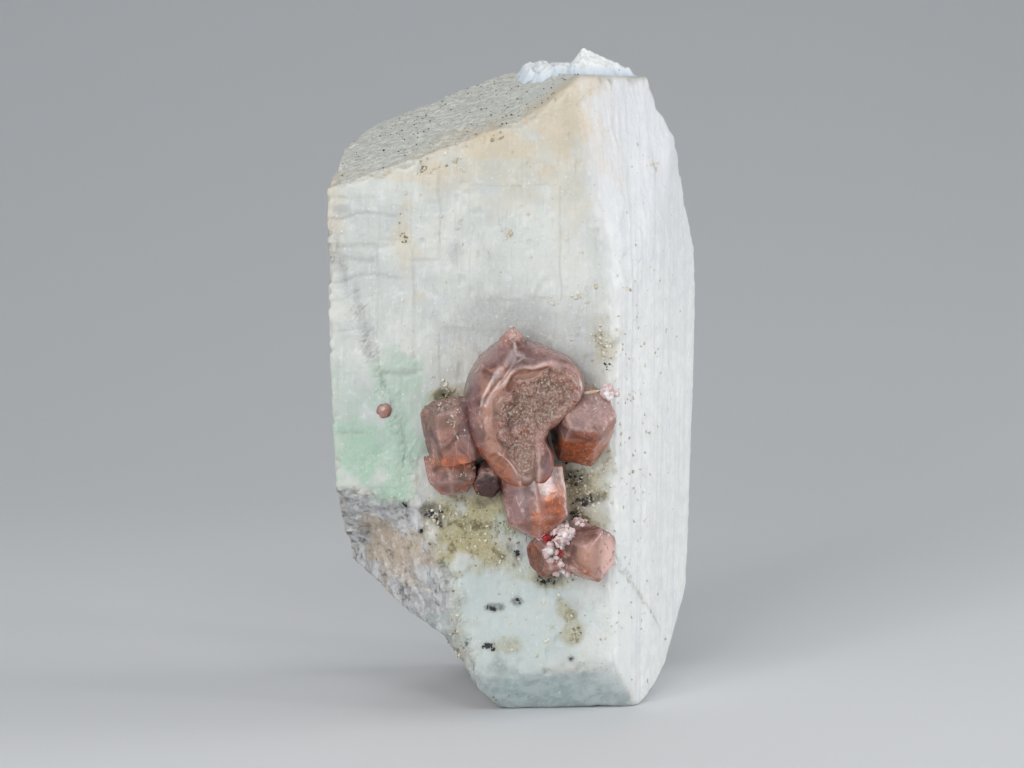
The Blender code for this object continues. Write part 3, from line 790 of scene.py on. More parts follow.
def tents(u, v, count, seed, tallest):
    """The highest of many small ridges: each falls steeply to its sides and gently along itself."""
    rng = np.random.default_rng(seed)
    reach, turn = np.sqrt(rng.random(count)), rng.uniform(0.0, 2 * math.pi, count)
    du = u[..., None] - BLADE_REACH[0] * reach * np.cos(turn)
    dv = v[..., None] - BLADE_REACH[1] * reach * np.sin(turn)
    lie = rng.uniform(0.0, math.pi, count)
    along = np.abs(du * np.cos(lie) + dv * np.sin(lie))
    beside = np.abs(dv * np.cos(lie) - du * np.sin(lie))
    lean = rng.uniform(0.5, 1.6, count)
    return (rng.uniform(0.45, 1.0, count) * tallest - lean * beside - 0.28 * along).max(axis=-1)


crust_turn = np.linspace(0.0, 2 * math.pi, 230, endpoint=False)
crust_share = np.concatenate([[1.04, 1.02, 1.0], np.linspace(0.985, 0.012, 74)])
oval = 1.0 / np.hypot(np.cos(crust_turn) / CRUST_REACH[0], np.sin(crust_turn) / CRUST_REACH[1])
ragged_rim = (0.5 * np.sin(5 * crust_turn) + 0.4 * np.sin(11 * crust_turn + 1.0)
              + 0.25 * np.sin(23 * crust_turn))
u = crust_share[:, None] * (oval + ragged_rim) * np.cos(crust_turn)
v = crust_share[:, None] * (oval + ragged_rim) * np.sin(crust_turn)
x = CRUST_CENTRE[0] + u * CRUST_RIGHT[0] + v * CRUST_BACK[0]
y = CRUST_CENTRE[1] + u * CRUST_RIGHT[1] + v * CRUST_BACK[1]
flat_place = np.stack([u, v, np.zeros_like(u)], axis=-1)
blades = tents(u, v, BLADE_COUNT, 5, BLADE_HEIGHT)
lump = 1.5 + 0.8 * layered_noise(flat_place / 2.6, 81, 3) + 0.5 * chips(flat_place / 1.7, 82)
to_left, to_right = np.maximum(SPIKE_X - x, 0.0), np.maximum(x - SPIKE_X, 0.0)
spike = SPIKE_HEIGHT - 1.5 * to_left - 0.38 * to_right - 0.5 * np.abs(y - SPIKE_Y)
spike = spike + 0.35 * lattice_noise(flat_place * 1.1, 83)
thick = np.maximum(np.maximum(blades, lump), spike) * smooth_step(1.0, 0.86, crust_share)[:, None]
thick = thick + 0.12 * layered_noise(flat_place * 1.6, 84, 2)
thick = np.where(crust_share[:, None] > 1.0, -0.8, np.maximum(thick, 0.08))
crust_points = np.stack([x, y, crown_height(x, y) + thick], axis=-1)
crust = mesh_from_grid("jagged_albite_crust", np.clip(crust_points, box_low, box_high),
                       closed_round=True)
mark(crust, "height", with_poles(np.clip(thick / 4.0, 0.0, 1.0)))

albite, tree, shader, _, grain = mineral("icy_white_albite", 4.0, 0.5, 0.9)
colour = tinted(tree, (0.66, 0.73, 0.80), (0.90, 0.91, 0.90),
                ranged(tree, marked(tree, "height"), 0.1, 0.7))
colour = laid_over(tree, colour,
                   ((0.62, 0.60, 0.50), ranged(tree, grain["Clouds"], 0.55, 0.7), 0.5),
                   ((0.16, 0.15, 0.14), grain["Dark flecks"], 0.6))
tree.links.new(colour, shader.inputs["Base Color"])
tree.links.new(ranged(tree, grain["Grain"], 0.3, 0.7, 0.22, 0.45), shader.inputs["Roughness"])
bump = node(tree, "ShaderNodeBump", {"Height": grain["Grain"], "Strength": 0.5, "Distance": 0.0003})
tree.links.new(bump.outputs[0], shader.inputs["Normal"])
settle(shader, {"Subsurface Weight": 0.35, "Subsurface Radius": (0.8, 0.95, 1.0),
                "Subsurface Scale": 0.002})
crust.data.materials.append(albite)
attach(crust, "root")
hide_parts("albite_crust")


# The hollowed apatite.
# The largest apatite: a thick, worn crystal with its rounded end towards the front. Its end face
# is etched into a rough hollow, which runs down its tongue, inside a smooth glassy rim.

CUP_CENTRE = (0.0, FRONT, 63.4)
CUP_OUTLINE = [
    (3, 11.2), (12, 13.4), (20, 14.8), (30, 15.1), (42, 14.4), (55, 13.6), (68, 13.2), (80, 13.2),
    (90, 13.1), (99, 12.8), (112, 12.0), (128, 11.1), (144, 10.4), (160, 9.9), (178, 9.7),
    (196, 9.8), (213, 10.2), (230, 10.9), (244, 12.0), (257, 14.0), (268, 15.4), (280, 16.0),
    (292, 15.8), (302, 14.6), (310, 12.0), (317, 8.6), (332, 7.9), (348, 9.4),
]
HOLLOW_OUTLINE = [
    (0, 10.6), (16, 13.0), (30, 13.9), (42, 13.0), (55, 11.4), (70, 9.4), (87, 9.0), (97, 8.0),
    (110, 6.3), (125, 5.6), (150, 5.6), (180, 5.0), (200, 5.4), (231, 6.5), (250, 8.0), (260, 9.6),
    (270, 11.6), (281, 12.6), (288, 10.6), (298, 7.6), (310, 5.8), (325, 6.4), (342, 8.6),
]
CUP_LEAN = (0.13, -0.11)
RIM_FALL = 4.6
# The scooped facet at the tongue's left: its middle, and the two parts of its direction.
SCOOP_MIDDLE, SCOOP_RUN = (-1.75, -11.1), (0.56, 0.83)
NUB_HEIGHT, NUB_ANGLE, NUB_HALF_ANGLE = 3.3, 93.0, 14.0


def round_outline(table, angles, blur):
    """A closed outline's radius at each angle: straight between its corners, then smoothed."""
    corners = np.array(table, float)
    fine = np.arange(0.0, 360.0, 0.5)
    radius = np.interp(fine, corners[:, 0], corners[:, 1], period=360.0)
    half_width = int(4 * blur)
    steps = range(-half_width, half_width + 1)
    weights = [math.exp(-0.5 * (0.5 * step / blur) ** 2) for step in steps]
    smooth = sum(weight * np.roll(radius, step) for weight, step in zip(weights, steps))
    return np.interp(angles, fine, smooth / sum(weights), period=360.0)


def cup_height(across, up, from_rim, into_hollow, solid):
    """The worn end face: its height, how etched it is, and where its lips get a painted highlight.
    It falls away round its rim like the quarter of an ellipse, and dips inside the hollow."""
    top_band = smooth_step(2.0, 9.0, up)
    rounding = 2.7 + 1.9 * top_band
    rim = np.clip(1.0 - from_rim / rounding, 0.0, 1.0)
    base = 10.9 - 0.05 * across - 0.10 * np.maximum(0.0, -up - 4.0)
    height = base - RIM_FALL * (1.0 - np.sqrt(1.0 - rim * rim))

    # The hollow, below its raised upper lip, and a low ridge along its left.
    sharp_side = smooth_step(4.0, -2.0, across) * smooth_step(9.0, 4.0, up)
    upper_lip = smooth_step(4.0, 6.5, up) * smooth_step(8.5, 6.0, across)
    height = height - 1.5 * smooth_step(0.0, 6.0, into_hollow)
    height = height - 0.60 * upper_lip * smooth_step(-0.15, 0.9, into_hollow)
    height = height - 0.16 * sharp_side * smooth_step(-0.1, 0.5, into_hollow)
    height = height + 0.12 * sharp_side * np.exp(-((into_hollow + 0.7) / 0.5) ** 2)
    height = height + 0.45 * upper_lip * np.exp(-((into_hollow + 0.6) / 0.6) ** 2)

    # The tongue: a scooped facet inside a thin ridge at its left, and a lobe at its right.
    off_across, off_up = across - SCOOP_MIDDLE[0], up - SCOOP_MIDDLE[1]
    along = off_across * SCOOP_RUN[0] - off_up * SCOOP_RUN[1]
    aside = -off_across * SCOOP_RUN[1] - off_up * SCOOP_RUN[0]
    leaf = smooth_step(4.9, 3.7, np.abs(along))
    height = height + leaf * 0.40 * np.exp(-((aside + 1.25 - 0.05 * along ** 2) / 0.25) ** 2)
    height = height - leaf * 0.55 * smooth_step(-1.1, -0.75, aside) * smooth_step(2.3, 1.2, aside)
    low, above_tip = smooth_step(-5.5, -8.5, up), smooth_step(-14.5, -12.5, up)
    height = height + 0.55 * low * np.exp(-((across - 5.7) / 1.6) ** 2)
    height = height - 0.28 * low * np.exp(-((across - 3.6) / 0.40) ** 2) * above_tip

    # What is etched, and the thin lips that get a painted highlight.
    smooth_wall = smooth_step(3.0, 6.0, up) * smooth_step(7.0, 3.0, across)
    smooth_wall = np.maximum(smooth_wall, 0.4 * sharp_side)
    rough = smooth_step(-0.2, 0.7, into_hollow - 2.4 * smooth_wall)
    wavy = 0.3 * lattice_noise(solid / 2.5, 97)
    painted_lip_highlight = upper_lip * np.exp(-((into_hollow + 0.45 + wavy) / 0.5) ** 2)
    scoop_lip = leaf * np.exp(-((aside + 1.15 - 0.05 * along ** 2) / 0.22) ** 2)
    lobe_lip = low * np.exp(-((across - 4.2) / 0.30) ** 2) * above_tip
    painted_lip_highlight = np.maximum(painted_lip_highlight, np.maximum(0.9 * scoop_lip, 0.7 * lobe_lip))
    worn = 0.20 * lattice_noise(solid / 4.5, 91)
    worn = worn + 0.03 * layered_noise(solid / 1.6, 92, 2) * (1 - rough)
    etching = 0.42 * layered_noise(solid / 1.4, 93, 3) + 0.45 * lattice_noise(solid / 4.6, 94)
    return height + worn + rough * etching, rough, painted_lip_highlight


def round_axis(turn, radius, height):
    """Points round a crystal's axis: across, out of the front face, and up."""
    return np.stack([radius * np.cos(turn), height, radius * np.sin(turn)], axis=-1)


cup_angle = np.linspace(0.0, 360.0, 330, endpoint=False)
outer = round_outline(CUP_OUTLINE, cup_angle, 2.0)
inner = round_outline(HOLLOW_OUTLINE, cup_angle, 3.0)
nub = np.clip(1.0 - np.abs(cup_angle - NUB_ANGLE) / NUB_HALF_ANGLE, 0.0, 1.0) ** 0.85
nub = NUB_HEIGHT * nub
turn = np.radians(cup_angle)
wall_rows, face_rows = 40, 104
share = 1.0 - 0.994 * (np.arange(face_rows)[:, None] / (face_rows - 1.0)) ** 1.25
radius = outer * share
flat_place = round_axis(turn, radius, np.zeros_like(radius))
face_height, rough_share, lip_highlight_share = cup_height(
    flat_place[..., 0], flat_place[..., 2], outer - radius, inner - radius, flat_place)
wall = np.linspace(0.0, 1.0, wall_rows)[:, None]
wall_height = -0.2 * (1 - wall) + wall * (face_height[0] - 0.12)
wall_radius = outer * (0.955 + 0.045 * np.sin(np.pi * np.minimum(wall * 0.62 + 0.06, 0.5)))
radius = np.vstack([wall_radius, radius])
height = np.vstack([wall_height, face_height])
no_wall = np.zeros_like(wall_radius)
etched = np.vstack([no_wall, rough_share])
crumbly = 1.0 + 0.35 * layered_noise(round_axis(turn, radius, height) / 0.9, 90, 2)
near_nub = np.exp(-((height - 6.6) / 2.2) ** 2) * smooth_step(0.80, 0.95, radius / outer)
radius = radius + nub * crumbly * near_nub
solid = round_axis(turn, radius, height)
swell = 1.0 + 0.012 * layered_noise(solid / 3.0, 95, 2)
swell = swell + 0.008 * lattice_noise(stretched(solid, (1.0, 30.0, 1.0)), 96) * (1 - etched)
across = CUP_CENTRE[0] + solid[..., 0] * swell + CUP_LEAN[0] * height
up = CUP_CENTRE[2] + solid[..., 2] * swell + CUP_LEAN[1] * height
cup_points = np.stack([across, CUP_CENTRE[1] - height, up], axis=-1)
cup = mesh_from_grid("hollowed_apatite", np.clip(cup_points, box_low, box_high),
                     closed_round=True)
hollow_edge = np.exp(-((inner - radius[wall_rows:] + 0.4) / 0.5) ** 2)
for name, on_face in (("etched", rough_share), ("painted_lip_highlight", lip_highlight_share), ("edge", hollow_edge)):
    mark(cup, name, with_poles(np.vstack([no_wall, on_face])))


def normals_of(piece):
    """The direction that each point of a piece looks, as rows of x, y and z."""
    looks = np.empty(len(piece.data.vertices) * 3, dtype=np.float32)
    piece.data.vertex_normals.foreach_get("vector", looks)
    return looks.reshape(-1, 3)


def points_of(piece):
    """A piece's points in drawing millimetres."""
    flat = np.empty(len(piece.data.vertices) * 3, dtype=np.float32)
    piece.data.vertices.foreach_get("co", flat)
    return flat.reshape(-1, 3) / MM - DRAWING_ORIGIN


# Where each colour of the apatites shows, and where painted shade and painted highlights lie, as
# picture places: half-width, half-height, strength.
ORANGE = [(590, 449, 32, 15, 1.0), (566, 449, 18, 15, 1.0), (551, 503, 18, 36, 1.0),
          (502, 462, 10, 17, 0.55), (456, 456, 26, 8, 1.0), (470, 484, 14, 8, 0.9),
          (532, 556, 20, 22, 1.0), (513, 380, 13, 9, 0.30), (584, 570, 13, 11, 1.0),
          (610, 436, 9, 14, 0.7), (541, 528, 10, 12, 0.8)]
# Peach glassy bands, and painted highlights on the hollowed crystal's upper lip and along the
# prisms' edges.
PEACH_AND_HIGHLIGHTS = [(488, 402, 6, 34, 0.9), (492, 432, 8, 20, 0.8), (498, 386, 9, 14, 0.8),
         (524, 368, 26, 5, 0.9), (590, 552, 16, 22, 0.9), (572, 434, 16, 3, 0.6),
         (550, 492, 4, 12, 0.4), (540, 470, 4, 12, 0.4)]
BROWN = [(535, 400, 40, 28, 1.0), (525, 450, 14, 28, 1.0), (556, 386, 26, 18, 0.8),
         (440, 412, 20, 14, 1.0), (462, 466, 20, 7, 0.7), (500, 458, 9, 18, 0.6),
         (520, 378, 18, 8, 0.8)]
LILAC = [(469, 390, 11, 50, 0.9), (478, 440, 8, 22, 0.7), (500, 350, 28, 10, 0.8),
         (548, 350, 32, 9, 0.6), (549, 462, 8, 24, 1.0), (563, 424, 12, 10, 0.7),
         (514, 500, 19, 26, 0.9), (430, 436, 10, 22, 0.6), (577, 392, 8, 18, 0.5),
         (592, 402, 22, 14, 0.8), (442, 484, 20, 10, 0.7), (486, 480, 12, 12, 0.4),
         (482, 455, 8, 16, 0.6)]
# Painted shade: dark red where the apatites meet, under their rims, and over the sunk middle prism.
PAINTED_SHADE_SPOTS = [(550, 434, 9, 8, 1.0), (490, 484, 15, 16, 1.5), (545, 484, 9, 3, 0.6),
        (475, 455, 5, 12, 0.6), (556, 470, 6, 10, 0.5), (462, 400, 5, 14, 0.5),
        (545, 568, 8, 8, 0.5), (536, 556, 14, 16, 0.75), (455, 480, 20, 10, 0.35),
        (438, 412, 18, 14, 0.35), (466, 388, 7, 28, 0.35)]
# Pale pink blush, and a painted sheen on the right prism's top.
BLUSH_AND_SHEEN = [(608, 554, 13, 26, 1.0), (588, 542, 10, 12, 0.30), (594, 404, 22, 13, 0.72),
         (513, 331, 9, 7, 0.45)]


def coloured_by_place(piece, seed):
    """Marks a crystal with its colours' places, painted shade and painted highlights among them,
    with the dust on what looks up, and with the clear glow of what looks down."""
    spots = points_of(piece)
    for name, table, raggedness in (("blush_and_sheen", BLUSH_AND_SHEEN, 0.15), ("orange", ORANGE, 0.22),
                                    ("peach_and_highlight", PEACH_AND_HIGHLIGHTS, 0.22), ("brown", BROWN, 0.25),
                                    ("lilac", LILAC, 0.25), ("painted_shade", PAINTED_SHADE_SPOTS, 0.20)):
        mark(piece, name, blotches(spots, table, raggedness, seed))
    looks_up = normals_of(piece)[:, 2]
    mark(piece, "dust", smooth_step(-0.1, 0.9, looks_up))
    mark(piece, "glow", smooth_step(-0.20, -0.60, looks_up))


coloured_by_place(cup, 101)

rose, tree, shader, where, grain = mineral("dusty_rose_apatite", 3.4, 0.5, 0.6)
broad = noise(tree, where, 0.22, 2.5, 0.50, 1.0)
depths = noise(tree, where, 0.55, 3.0, 0.55, 1.2)
colour = tinted(tree, (0.115, 0.050, 0.038), (0.36, 0.180, 0.142), ranged(tree, broad, 0.38, 0.60))
zone_mix = ranged(tree, depths, 0.30, 0.56, 0.70, 1.0)
# The zones' colours; the peach and blush zones carry painted highlights too.
for zone, zone_colour, strength in (
        ("blush_and_sheen", (0.86, 0.55, 0.49), 0.90), ("lilac", (0.25, 0.145, 0.150), 0.85),
        ("peach_and_highlight", (0.48, 0.250, 0.175), 0.85), ("brown", (0.30, 0.180, 0.132), 0.80),
        ("orange", (0.38, 0.100, 0.038), 0.90)):
    amount = reckoned(tree, "MULTIPLY", marked(tree, zone), zone_mix)
    colour = laid_over(tree, colour, (zone_colour, amount, strength))

# Clear places glow orange, murk lies deep in the stone, and thin pale veils cross it.
ember = reckoned(tree, "MULTIPLY", marked(tree, "orange"), ranged(tree, depths, 0.50, 0.64))
colour = laid_over(tree, colour,
                   ((0.35, 0.095, 0.038), marked(tree, "glow"),
                    ranged(tree, broad, 0.34, 0.60, 0.25, 0.85)),
                   ((0.68, 0.20, 0.070), ember, 0.75),
                   ((0.085, 0.034, 0.028), ranged(tree, depths, 0.44, 0.34), 0.40))
veil_place = squeezed(tree, where, (1.0, 0.6, 0.45), 0.5)
for size, width, strength in ((0.26, 0.016, 0.65), (0.60, 0.018, 0.35)):
    veil = noise(tree, veil_place, size, 2.0, distortion=1.2)
    ridge = reckoned(tree, "ABSOLUTE", reckoned(tree, "SUBTRACT", veil, 0.5))
    wisp = reckoned(tree, "MULTIPLY", ranged(tree, ridge, width, 0.0),
                    ranged(tree, broad, 0.44, 0.60))
    colour = laid_over(tree, colour, ((0.62, 0.45, 0.41), wisp, strength))

# Worn edges and what looks up are frosted. The etched hollow is gritty, and dark in its pits.
# Painted shade and a painted highlight along the lips lie over it all.
colour = laid_over(tree, colour, ((0.60, 0.41, 0.37), marked(tree, "edge"),
                                  ranged(tree, grain["Clouds"], 0.42, 0.58, 0.0, 0.55)))
dusty = reckoned(tree, "MULTIPLY", marked(tree, "dust"),
                 reckoned(tree, "SUBTRACT", 1.0, marked(tree, "painted_shade")))
frost = reckoned(tree, "MULTIPLY", dusty, ranged(tree, grain["Clouds"], 0.38, 0.62, 0.10, 0.50))
colour = tinted(tree, colour, (0.37, 0.245, 0.235), frost)
hollow = marked(tree, "etched")
spread = reckoned(tree, "MULTIPLY_ADD", hollow, 0.65, 0.06)
gritty = reckoned(tree, "MULTIPLY", hollow, ranged(tree, grain["Grain"], 0.48, 0.62))
pitted = reckoned(tree, "MULTIPLY", hollow, ranged(tree, grain["Grain"], 0.47, 0.36))
colour = laid_over(tree, colour,
                   ((0.58, 0.44, 0.37), gritty, 0.80),
                   ((0.130, 0.070, 0.052), pitted, 0.42),
                   ((0.82, 0.74, 0.68), grain["Pale flecks"], spread),
                   ((0.06, 0.04, 0.03), grain["Dark flecks"], spread),
                   # painted shade, darkest red
                   ((0.050, 0.013, 0.010), marked(tree, "painted_shade"),
                    ranged(tree, depths, 0.30, 0.56, 0.98, 0.80)),
                   # painted highlight along the lips
                   ((0.74, 0.53, 0.49), marked(tree, "painted_lip_highlight"),
                    ranged(tree, depths, 0.36, 0.56, 0.30, 0.80)))
tree.links.new(colour, shader.inputs["Base Color"])
rough = reckoned(tree, "MULTIPLY_ADD", hollow, 0.34, 0.10)
rough = reckoned(tree, "MULTIPLY_ADD", frost, 0.30, rough)
rough = reckoned(tree, "ADD", rough, ranged(tree, grain["Clouds"], 0.40, 0.65, 0.0, 0.10))
tree.links.new(rough, shader.inputs["Roughness"])
grit_height = reckoned(tree, "MULTIPLY_ADD", hollow, 0.94, 0.06)
rugged = reckoned(tree, "MULTIPLY", grain["Grain"], grit_height)
bump = node(tree, "ShaderNodeBump", {"Height": rugged, "Strength": 0.7, "Distance": 0.0005})
tree.links.new(bump.outputs[0], shader.inputs["Normal"])
settle(shader, {"Subsurface Weight": 0.30, "Subsurface Radius": (1.0, 0.30, 0.18),
                "Subsurface Scale": 0.0022, "IOR": 1.63})
cup.data.materials.append(rose)
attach(cup, "root")
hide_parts("apatite_cluster")


# The six-sided apatites.
# Short prisms with bevelled ends, worn round at their edges: three grown into the hollowed
# crystal, a pair of barrels at its left, one broken across at the lower right, and a small bead.


def six_sides(distance, spin, *changes):
    """Six sides as (angle, distance), with small changes to some of the distances."""
    changes = list(changes) + [0.0] * (6 - len(changes))
    return [(spin + 60 * k, distance + changes[k]) for k in range(6)]


def crystal_faces(centre, c_axis, sides, taper, ends, cap_start, cap_angle):
    """A prism's faces as (point, outward): its two ends, then each side and its cap's slope."""
    centre = np.array(centre)
    c_axis = np.array(c_axis) / np.linalg.norm(c_axis)
    a_axis = np.array([1.0, 0, 0]) - c_axis * c_axis[0]
    a_axis = a_axis / np.linalg.norm(a_axis)
    b_axis = np.cross(c_axis, a_axis)
    lean, slope = math.radians(taper), math.radians(cap_angle)
    faces = [(centre + c_axis * ends[0], c_axis), (centre - c_axis * ends[1], -c_axis)]
    for angle, distance in sides:
        turn = math.radians(angle)
        out = a_axis * math.cos(turn) + b_axis * math.sin(turn)
        faces.append((centre + out * distance, out * math.cos(lean) + c_axis * math.sin(lean)))
        rim = centre + c_axis * ends[0] + out * distance * cap_start
        faces.append((rim, out * math.cos(slope) + c_axis * math.sin(slope)))
    return faces, centre, (a_axis, b_axis, c_axis)


# Each face bulges like a ball of this radius, up to a limit of squared distance from its middle.
FACE_RADIUS, BULGE_LIMIT, NEAR_ENOUGH = 42.0, 60.0, 30.0


def grown_crystal(name, shape, wear, end_relief, seed, columns=150, rows=100):
    """A crystal's surface: rays from its middle, each as long as the nearest face lets it be. The
    faces bulge a little, the edges are rounded by wear, and noise lies over all of it."""
    faces, centre, (a_axis, b_axis, c_axis) = crystal_faces(**shape)
    dive = np.radians(np.linspace(-88.5, 88.5, rows))[:, None]
    turn = np.linspace(0.0, 2 * math.pi, columns, endpoint=False)
    level = np.cos(dive)
    rays = (a_axis * (level * np.cos(turn))[..., None] + b_axis * (level * np.sin(turn))[..., None]
            + c_axis * np.sin(dive)[..., None])
    starts = np.broadcast_to(centre, rays.shape)
    reaches = []
    for point, outward in faces:
        flat = plane_reach(starts, rays, point, outward)[0]
        foot = centre + outward * np.dot(point - centre, outward)
        met = starts + rays * np.minimum(flat, NEAR_ENOUGH)[..., None]
        aside = ((met - foot) ** 2).sum(axis=-1)
        reaches.append(flat - np.minimum(aside, BULGE_LIMIT) / (2.0 * FACE_RADIUS))
    reaches = np.array(reaches)
    reach = soft_least(reaches, wear)
    ordered = np.sort(reaches, axis=0)
    near_edge = np.exp(-(ordered[1] - ordered[0]) / 0.40)
    near_end = np.exp(-np.abs(reaches[0] - reach) / 0.4)
    hits = starts + rays * reach[..., None]
    off_middle = hits - centre
    own_place = np.stack([off_middle @ a_axis, off_middle @ b_axis, off_middle @ c_axis], axis=-1)
    growth_lines = lattice_noise(own_place / np.array([6.0, 6.0, 0.55]), seed + 4)
    reach = reach + 0.09 * lattice_noise(hits / 3.5, seed)
    reach = reach + 0.010 * lattice_noise(hits / 0.9, seed + 1)
    nicks = smooth_step(0.1, 0.7, lattice_noise(hits / 0.9, seed + 5))
    reach = reach + 0.012 * growth_lines * (1 - near_end) - 0.25 * near_edge * nicks
    reach = reach + near_end * end_relief * layered_noise(hits / 1.5, seed + 2, 3)
    hits = starts + rays * reach[..., None]
    hits[..., 1] = np.minimum(hits[..., 1], FRONT + 0.5)
    piece = mesh_from_grid(name, np.clip(hits, box_low, box_high), closed_round=True)
    mark(piece, "etched", with_poles(near_end * min(1.0, end_relief * 2.2)))
    mark(piece, "edge", with_poles(near_edge))
    coloured_by_place(piece, seed)
    piece.data.materials.append(rose)
    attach(piece, "root")
    return piece


RIGHT_PRISM = dict(
    centre=(14.4, -23.2, 60.6), c_axis=(0.13, -0.80, 0.58), taper=3, ends=(4.6, 9.0),
    cap_start=0.86, cap_angle=50, sides=six_sides(5.4, 22, 0.1, 0, 0, 0, 0.1, 0.3))
LOWER_PRISM = dict(
    centre=(4.5, -22.2, 45.2), c_axis=(0.13, -0.22, -0.96), taper=2, ends=(8.4, 5.6),
    cap_start=0.14, cap_angle=57, sides=six_sides(6.3, -6))
# The middle prism sits sunk between the others; its darkness is painted shade.
SHADED_MIDDLE_PRISM = dict(
    centre=(-4.4, -19.5, 48.2), c_axis=(-0.1, -0.95, -0.2), taper=6, ends=(3.2, 6.0),
    cap_start=0.7, cap_angle=45, sides=six_sides(3.2, 20))
LEFT_UPPER = dict(
    centre=(-11.2, -23.0, 57.8), c_axis=(-0.22, -0.16, 0.96), taper=1, ends=(6.2, 5.4),
    cap_start=0.80, cap_angle=50, sides=six_sides(5.2, 35))
LEFT_LOWER = dict(
    centre=(-11.5, -20.4, 50.1), c_axis=(0.10, -0.12, -0.98), taper=7, ends=(4.8, 3.4),
    cap_start=0.50, cap_angle=40, sides=six_sides(4.9, 4))
BROKEN_LEFT = dict(
    centre=(7.4, -20.4, 33.2), c_axis=(-0.82, -0.52, -0.18), taper=2, ends=(3.0, 6.0),
    cap_start=0.72, cap_angle=48, sides=six_sides(3.9, 18))
BROKEN_RIGHT = dict(
    centre=(15.3, -22.9, 34.2), c_axis=(0.78, -0.60, -0.12), taper=2, ends=(3.6, 3.0),
    cap_start=0.84, cap_angle=46, sides=six_sides(5.1, -4))
BEAD = dict(
    centre=(-24.9, -18.7, 61.6), c_axis=(0.0, -1.0, 0.0), taper=12, ends=(1.1, 2.0),
    cap_start=0.75, cap_angle=45, sides=six_sides(1.6, 10))

crystals = [cup]
for name, shape, wear, end_relief, node_name in (
        ("right_apatite_prism", RIGHT_PRISM, 0.10, 0.20, "apatite_cluster"),
        ("lower_apatite_prism", LOWER_PRISM, 0.10, 0.08, "apatite_cluster"),
        ("shaded_middle_apatite_prism", SHADED_MIDDLE_PRISM, 0.12, 0.12, "apatite_cluster"),
        ("left_upper_barrel", LEFT_UPPER, 0.16, 0.50, "apatite_left_pair"),
        ("left_lower_barrel", LEFT_LOWER, 0.14, 0.15, "apatite_left_pair"),
        ("broken_prism_left_end", BROKEN_LEFT, 0.08, 0.12, "apatite_broken_prism"),
        ("broken_prism_right_end", BROKEN_RIGHT, 0.05, 0.04, "apatite_broken_prism"),
        ("apatite_bead_ball", BEAD, 0.45, 0.10, "apatite_bead")):
    crystal = grown_crystal(name, shape, wear, end_relief, 200 + len(bpy.data.objects))
    crystals.append(crystal)
    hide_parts(node_name)


# The loose grain.
# Small pieces that sit on the faces: tan and white crumbs, black grains and dark specks, the
# crumbly filling of the broken prism, and a few splinters. Each kind is one piece of many lumps.


def lumps_mesh(name, centres, sizes, seed, roughness=0.35, columns=7, rows=5, smooth=True):
    """Many small lumps as one mesh. Each is a ball of a few faces, stretched by its three sizes,
    turned at random about all axes, and dented by noise."""
    rng = np.random.default_rng(seed)
    count = len(centres)
    dive = np.radians(np.linspace(-58.0, 58.0, rows))[:, None]
    turn = np.linspace(0.0, 2 * math.pi, columns, endpoint=False)
    level = np.cos(dive)
    ball = np.stack(np.broadcast_arrays(level * np.cos(turn), level * np.sin(turn), np.sin(dive)),
                    axis=-1).reshape(-1, 3)
    ball = np.vstack([ball, [0, 0, -1], [0, 0, 1]])
    apart = 31.0 * np.arange(count)[:, None, None]
    dents = lattice_noise(ball[None] * 1.6 + apart, seed)
    each = ball[None] * (1.0 + roughness * dents[..., None])
    each = each * np.asarray(sizes)[:, None, :]
    quaternions = rng.normal(size=(count, 4))
    w, x, y, z = (quaternions / np.linalg.norm(quaternions, axis=1, keepdims=True)).T
    turns = np.stack([
        np.stack([1 - 2 * (y * y + z * z), 2 * (x * y - z * w), 2 * (x * z + y * w)], -1),
        np.stack([2 * (x * y + z * w), 1 - 2 * (x * x + z * z), 2 * (y * z - x * w)], -1),
        np.stack([2 * (x * z - y * w), 2 * (y * z + x * w), 1 - 2 * (x * x + y * y)], -1)], 1)
    each = np.einsum("nij,nkj->nki", turns, each) + np.asarray(centres)[:, None, :]
    quads, column, after = grid_faces(rows, columns, closed_round=True)
    ends = end_faces(rows, columns, column, after)
    shift = (np.arange(count) * len(ball))[:, None, None]
    faces = (quads[None] + shift).reshape(-1, 4).tolist()
    faces += (ends[None] + shift).reshape(-1, 3).tolist()
    piece = new_piece(name, np.clip(each.reshape(-1, 3), box_low, box_high), faces, smooth)
    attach(piece, "root")
    return piece


bpy.context.view_layer.update()


def dropped(points, direction, *pieces):
    """Where points land when they travel along a direction, in drawing millimetres: on whichever
    of the pieces they meet first."""
    landed = []
    for point in points:
        met = [np.array(hit) / MM - DRAWING_ORIGIN for found, hit, _, _ in
               (piece.ray_cast(place(point), Vector(direction)) for piece in pieces) if found]
        if met:
            landed.append(min(met, key=lambda hit: float(np.dot(hit, direction))))
    return np.array(landed)


def front_scatter(spots, seed, *pieces):
    """Random places round picture spots: how many, and their half-width and half-height."""
    rng = np.random.default_rng(seed)
    wanted = []
    for px, py, wide, high, count in spots:
        spread_x = px + rng.normal(0.0, wide * 0.55, count)
        spread_y = py + rng.normal(0.0, high * 0.55, count)
        x, z = on_front(spread_x, spread_y)
        wanted += list(np.stack([x, np.full(count, -60.0), z], axis=-1))
    return dropped(wanted, (0, 1, 0), *pieces)


def plain_grain(name, colour_low, colour_high, roughness):
    """A dull stone between two colours."""
    material, tree, shader, _, grain = mineral(name, 2.0, 0.4, 0.8)
    colour = tinted(tree, colour_low, colour_high, ranged(tree, grain["Clouds"], 0.35, 0.65))
    tree.links.new(colour, shader.inputs["Base Color"])
    rough = ranged(tree, grain["Grain"], 0.3, 0.7, roughness, roughness + 0.2)
    tree.links.new(rough, shader.inputs["Roughness"])
    return material


rng = np.random.default_rng(7)


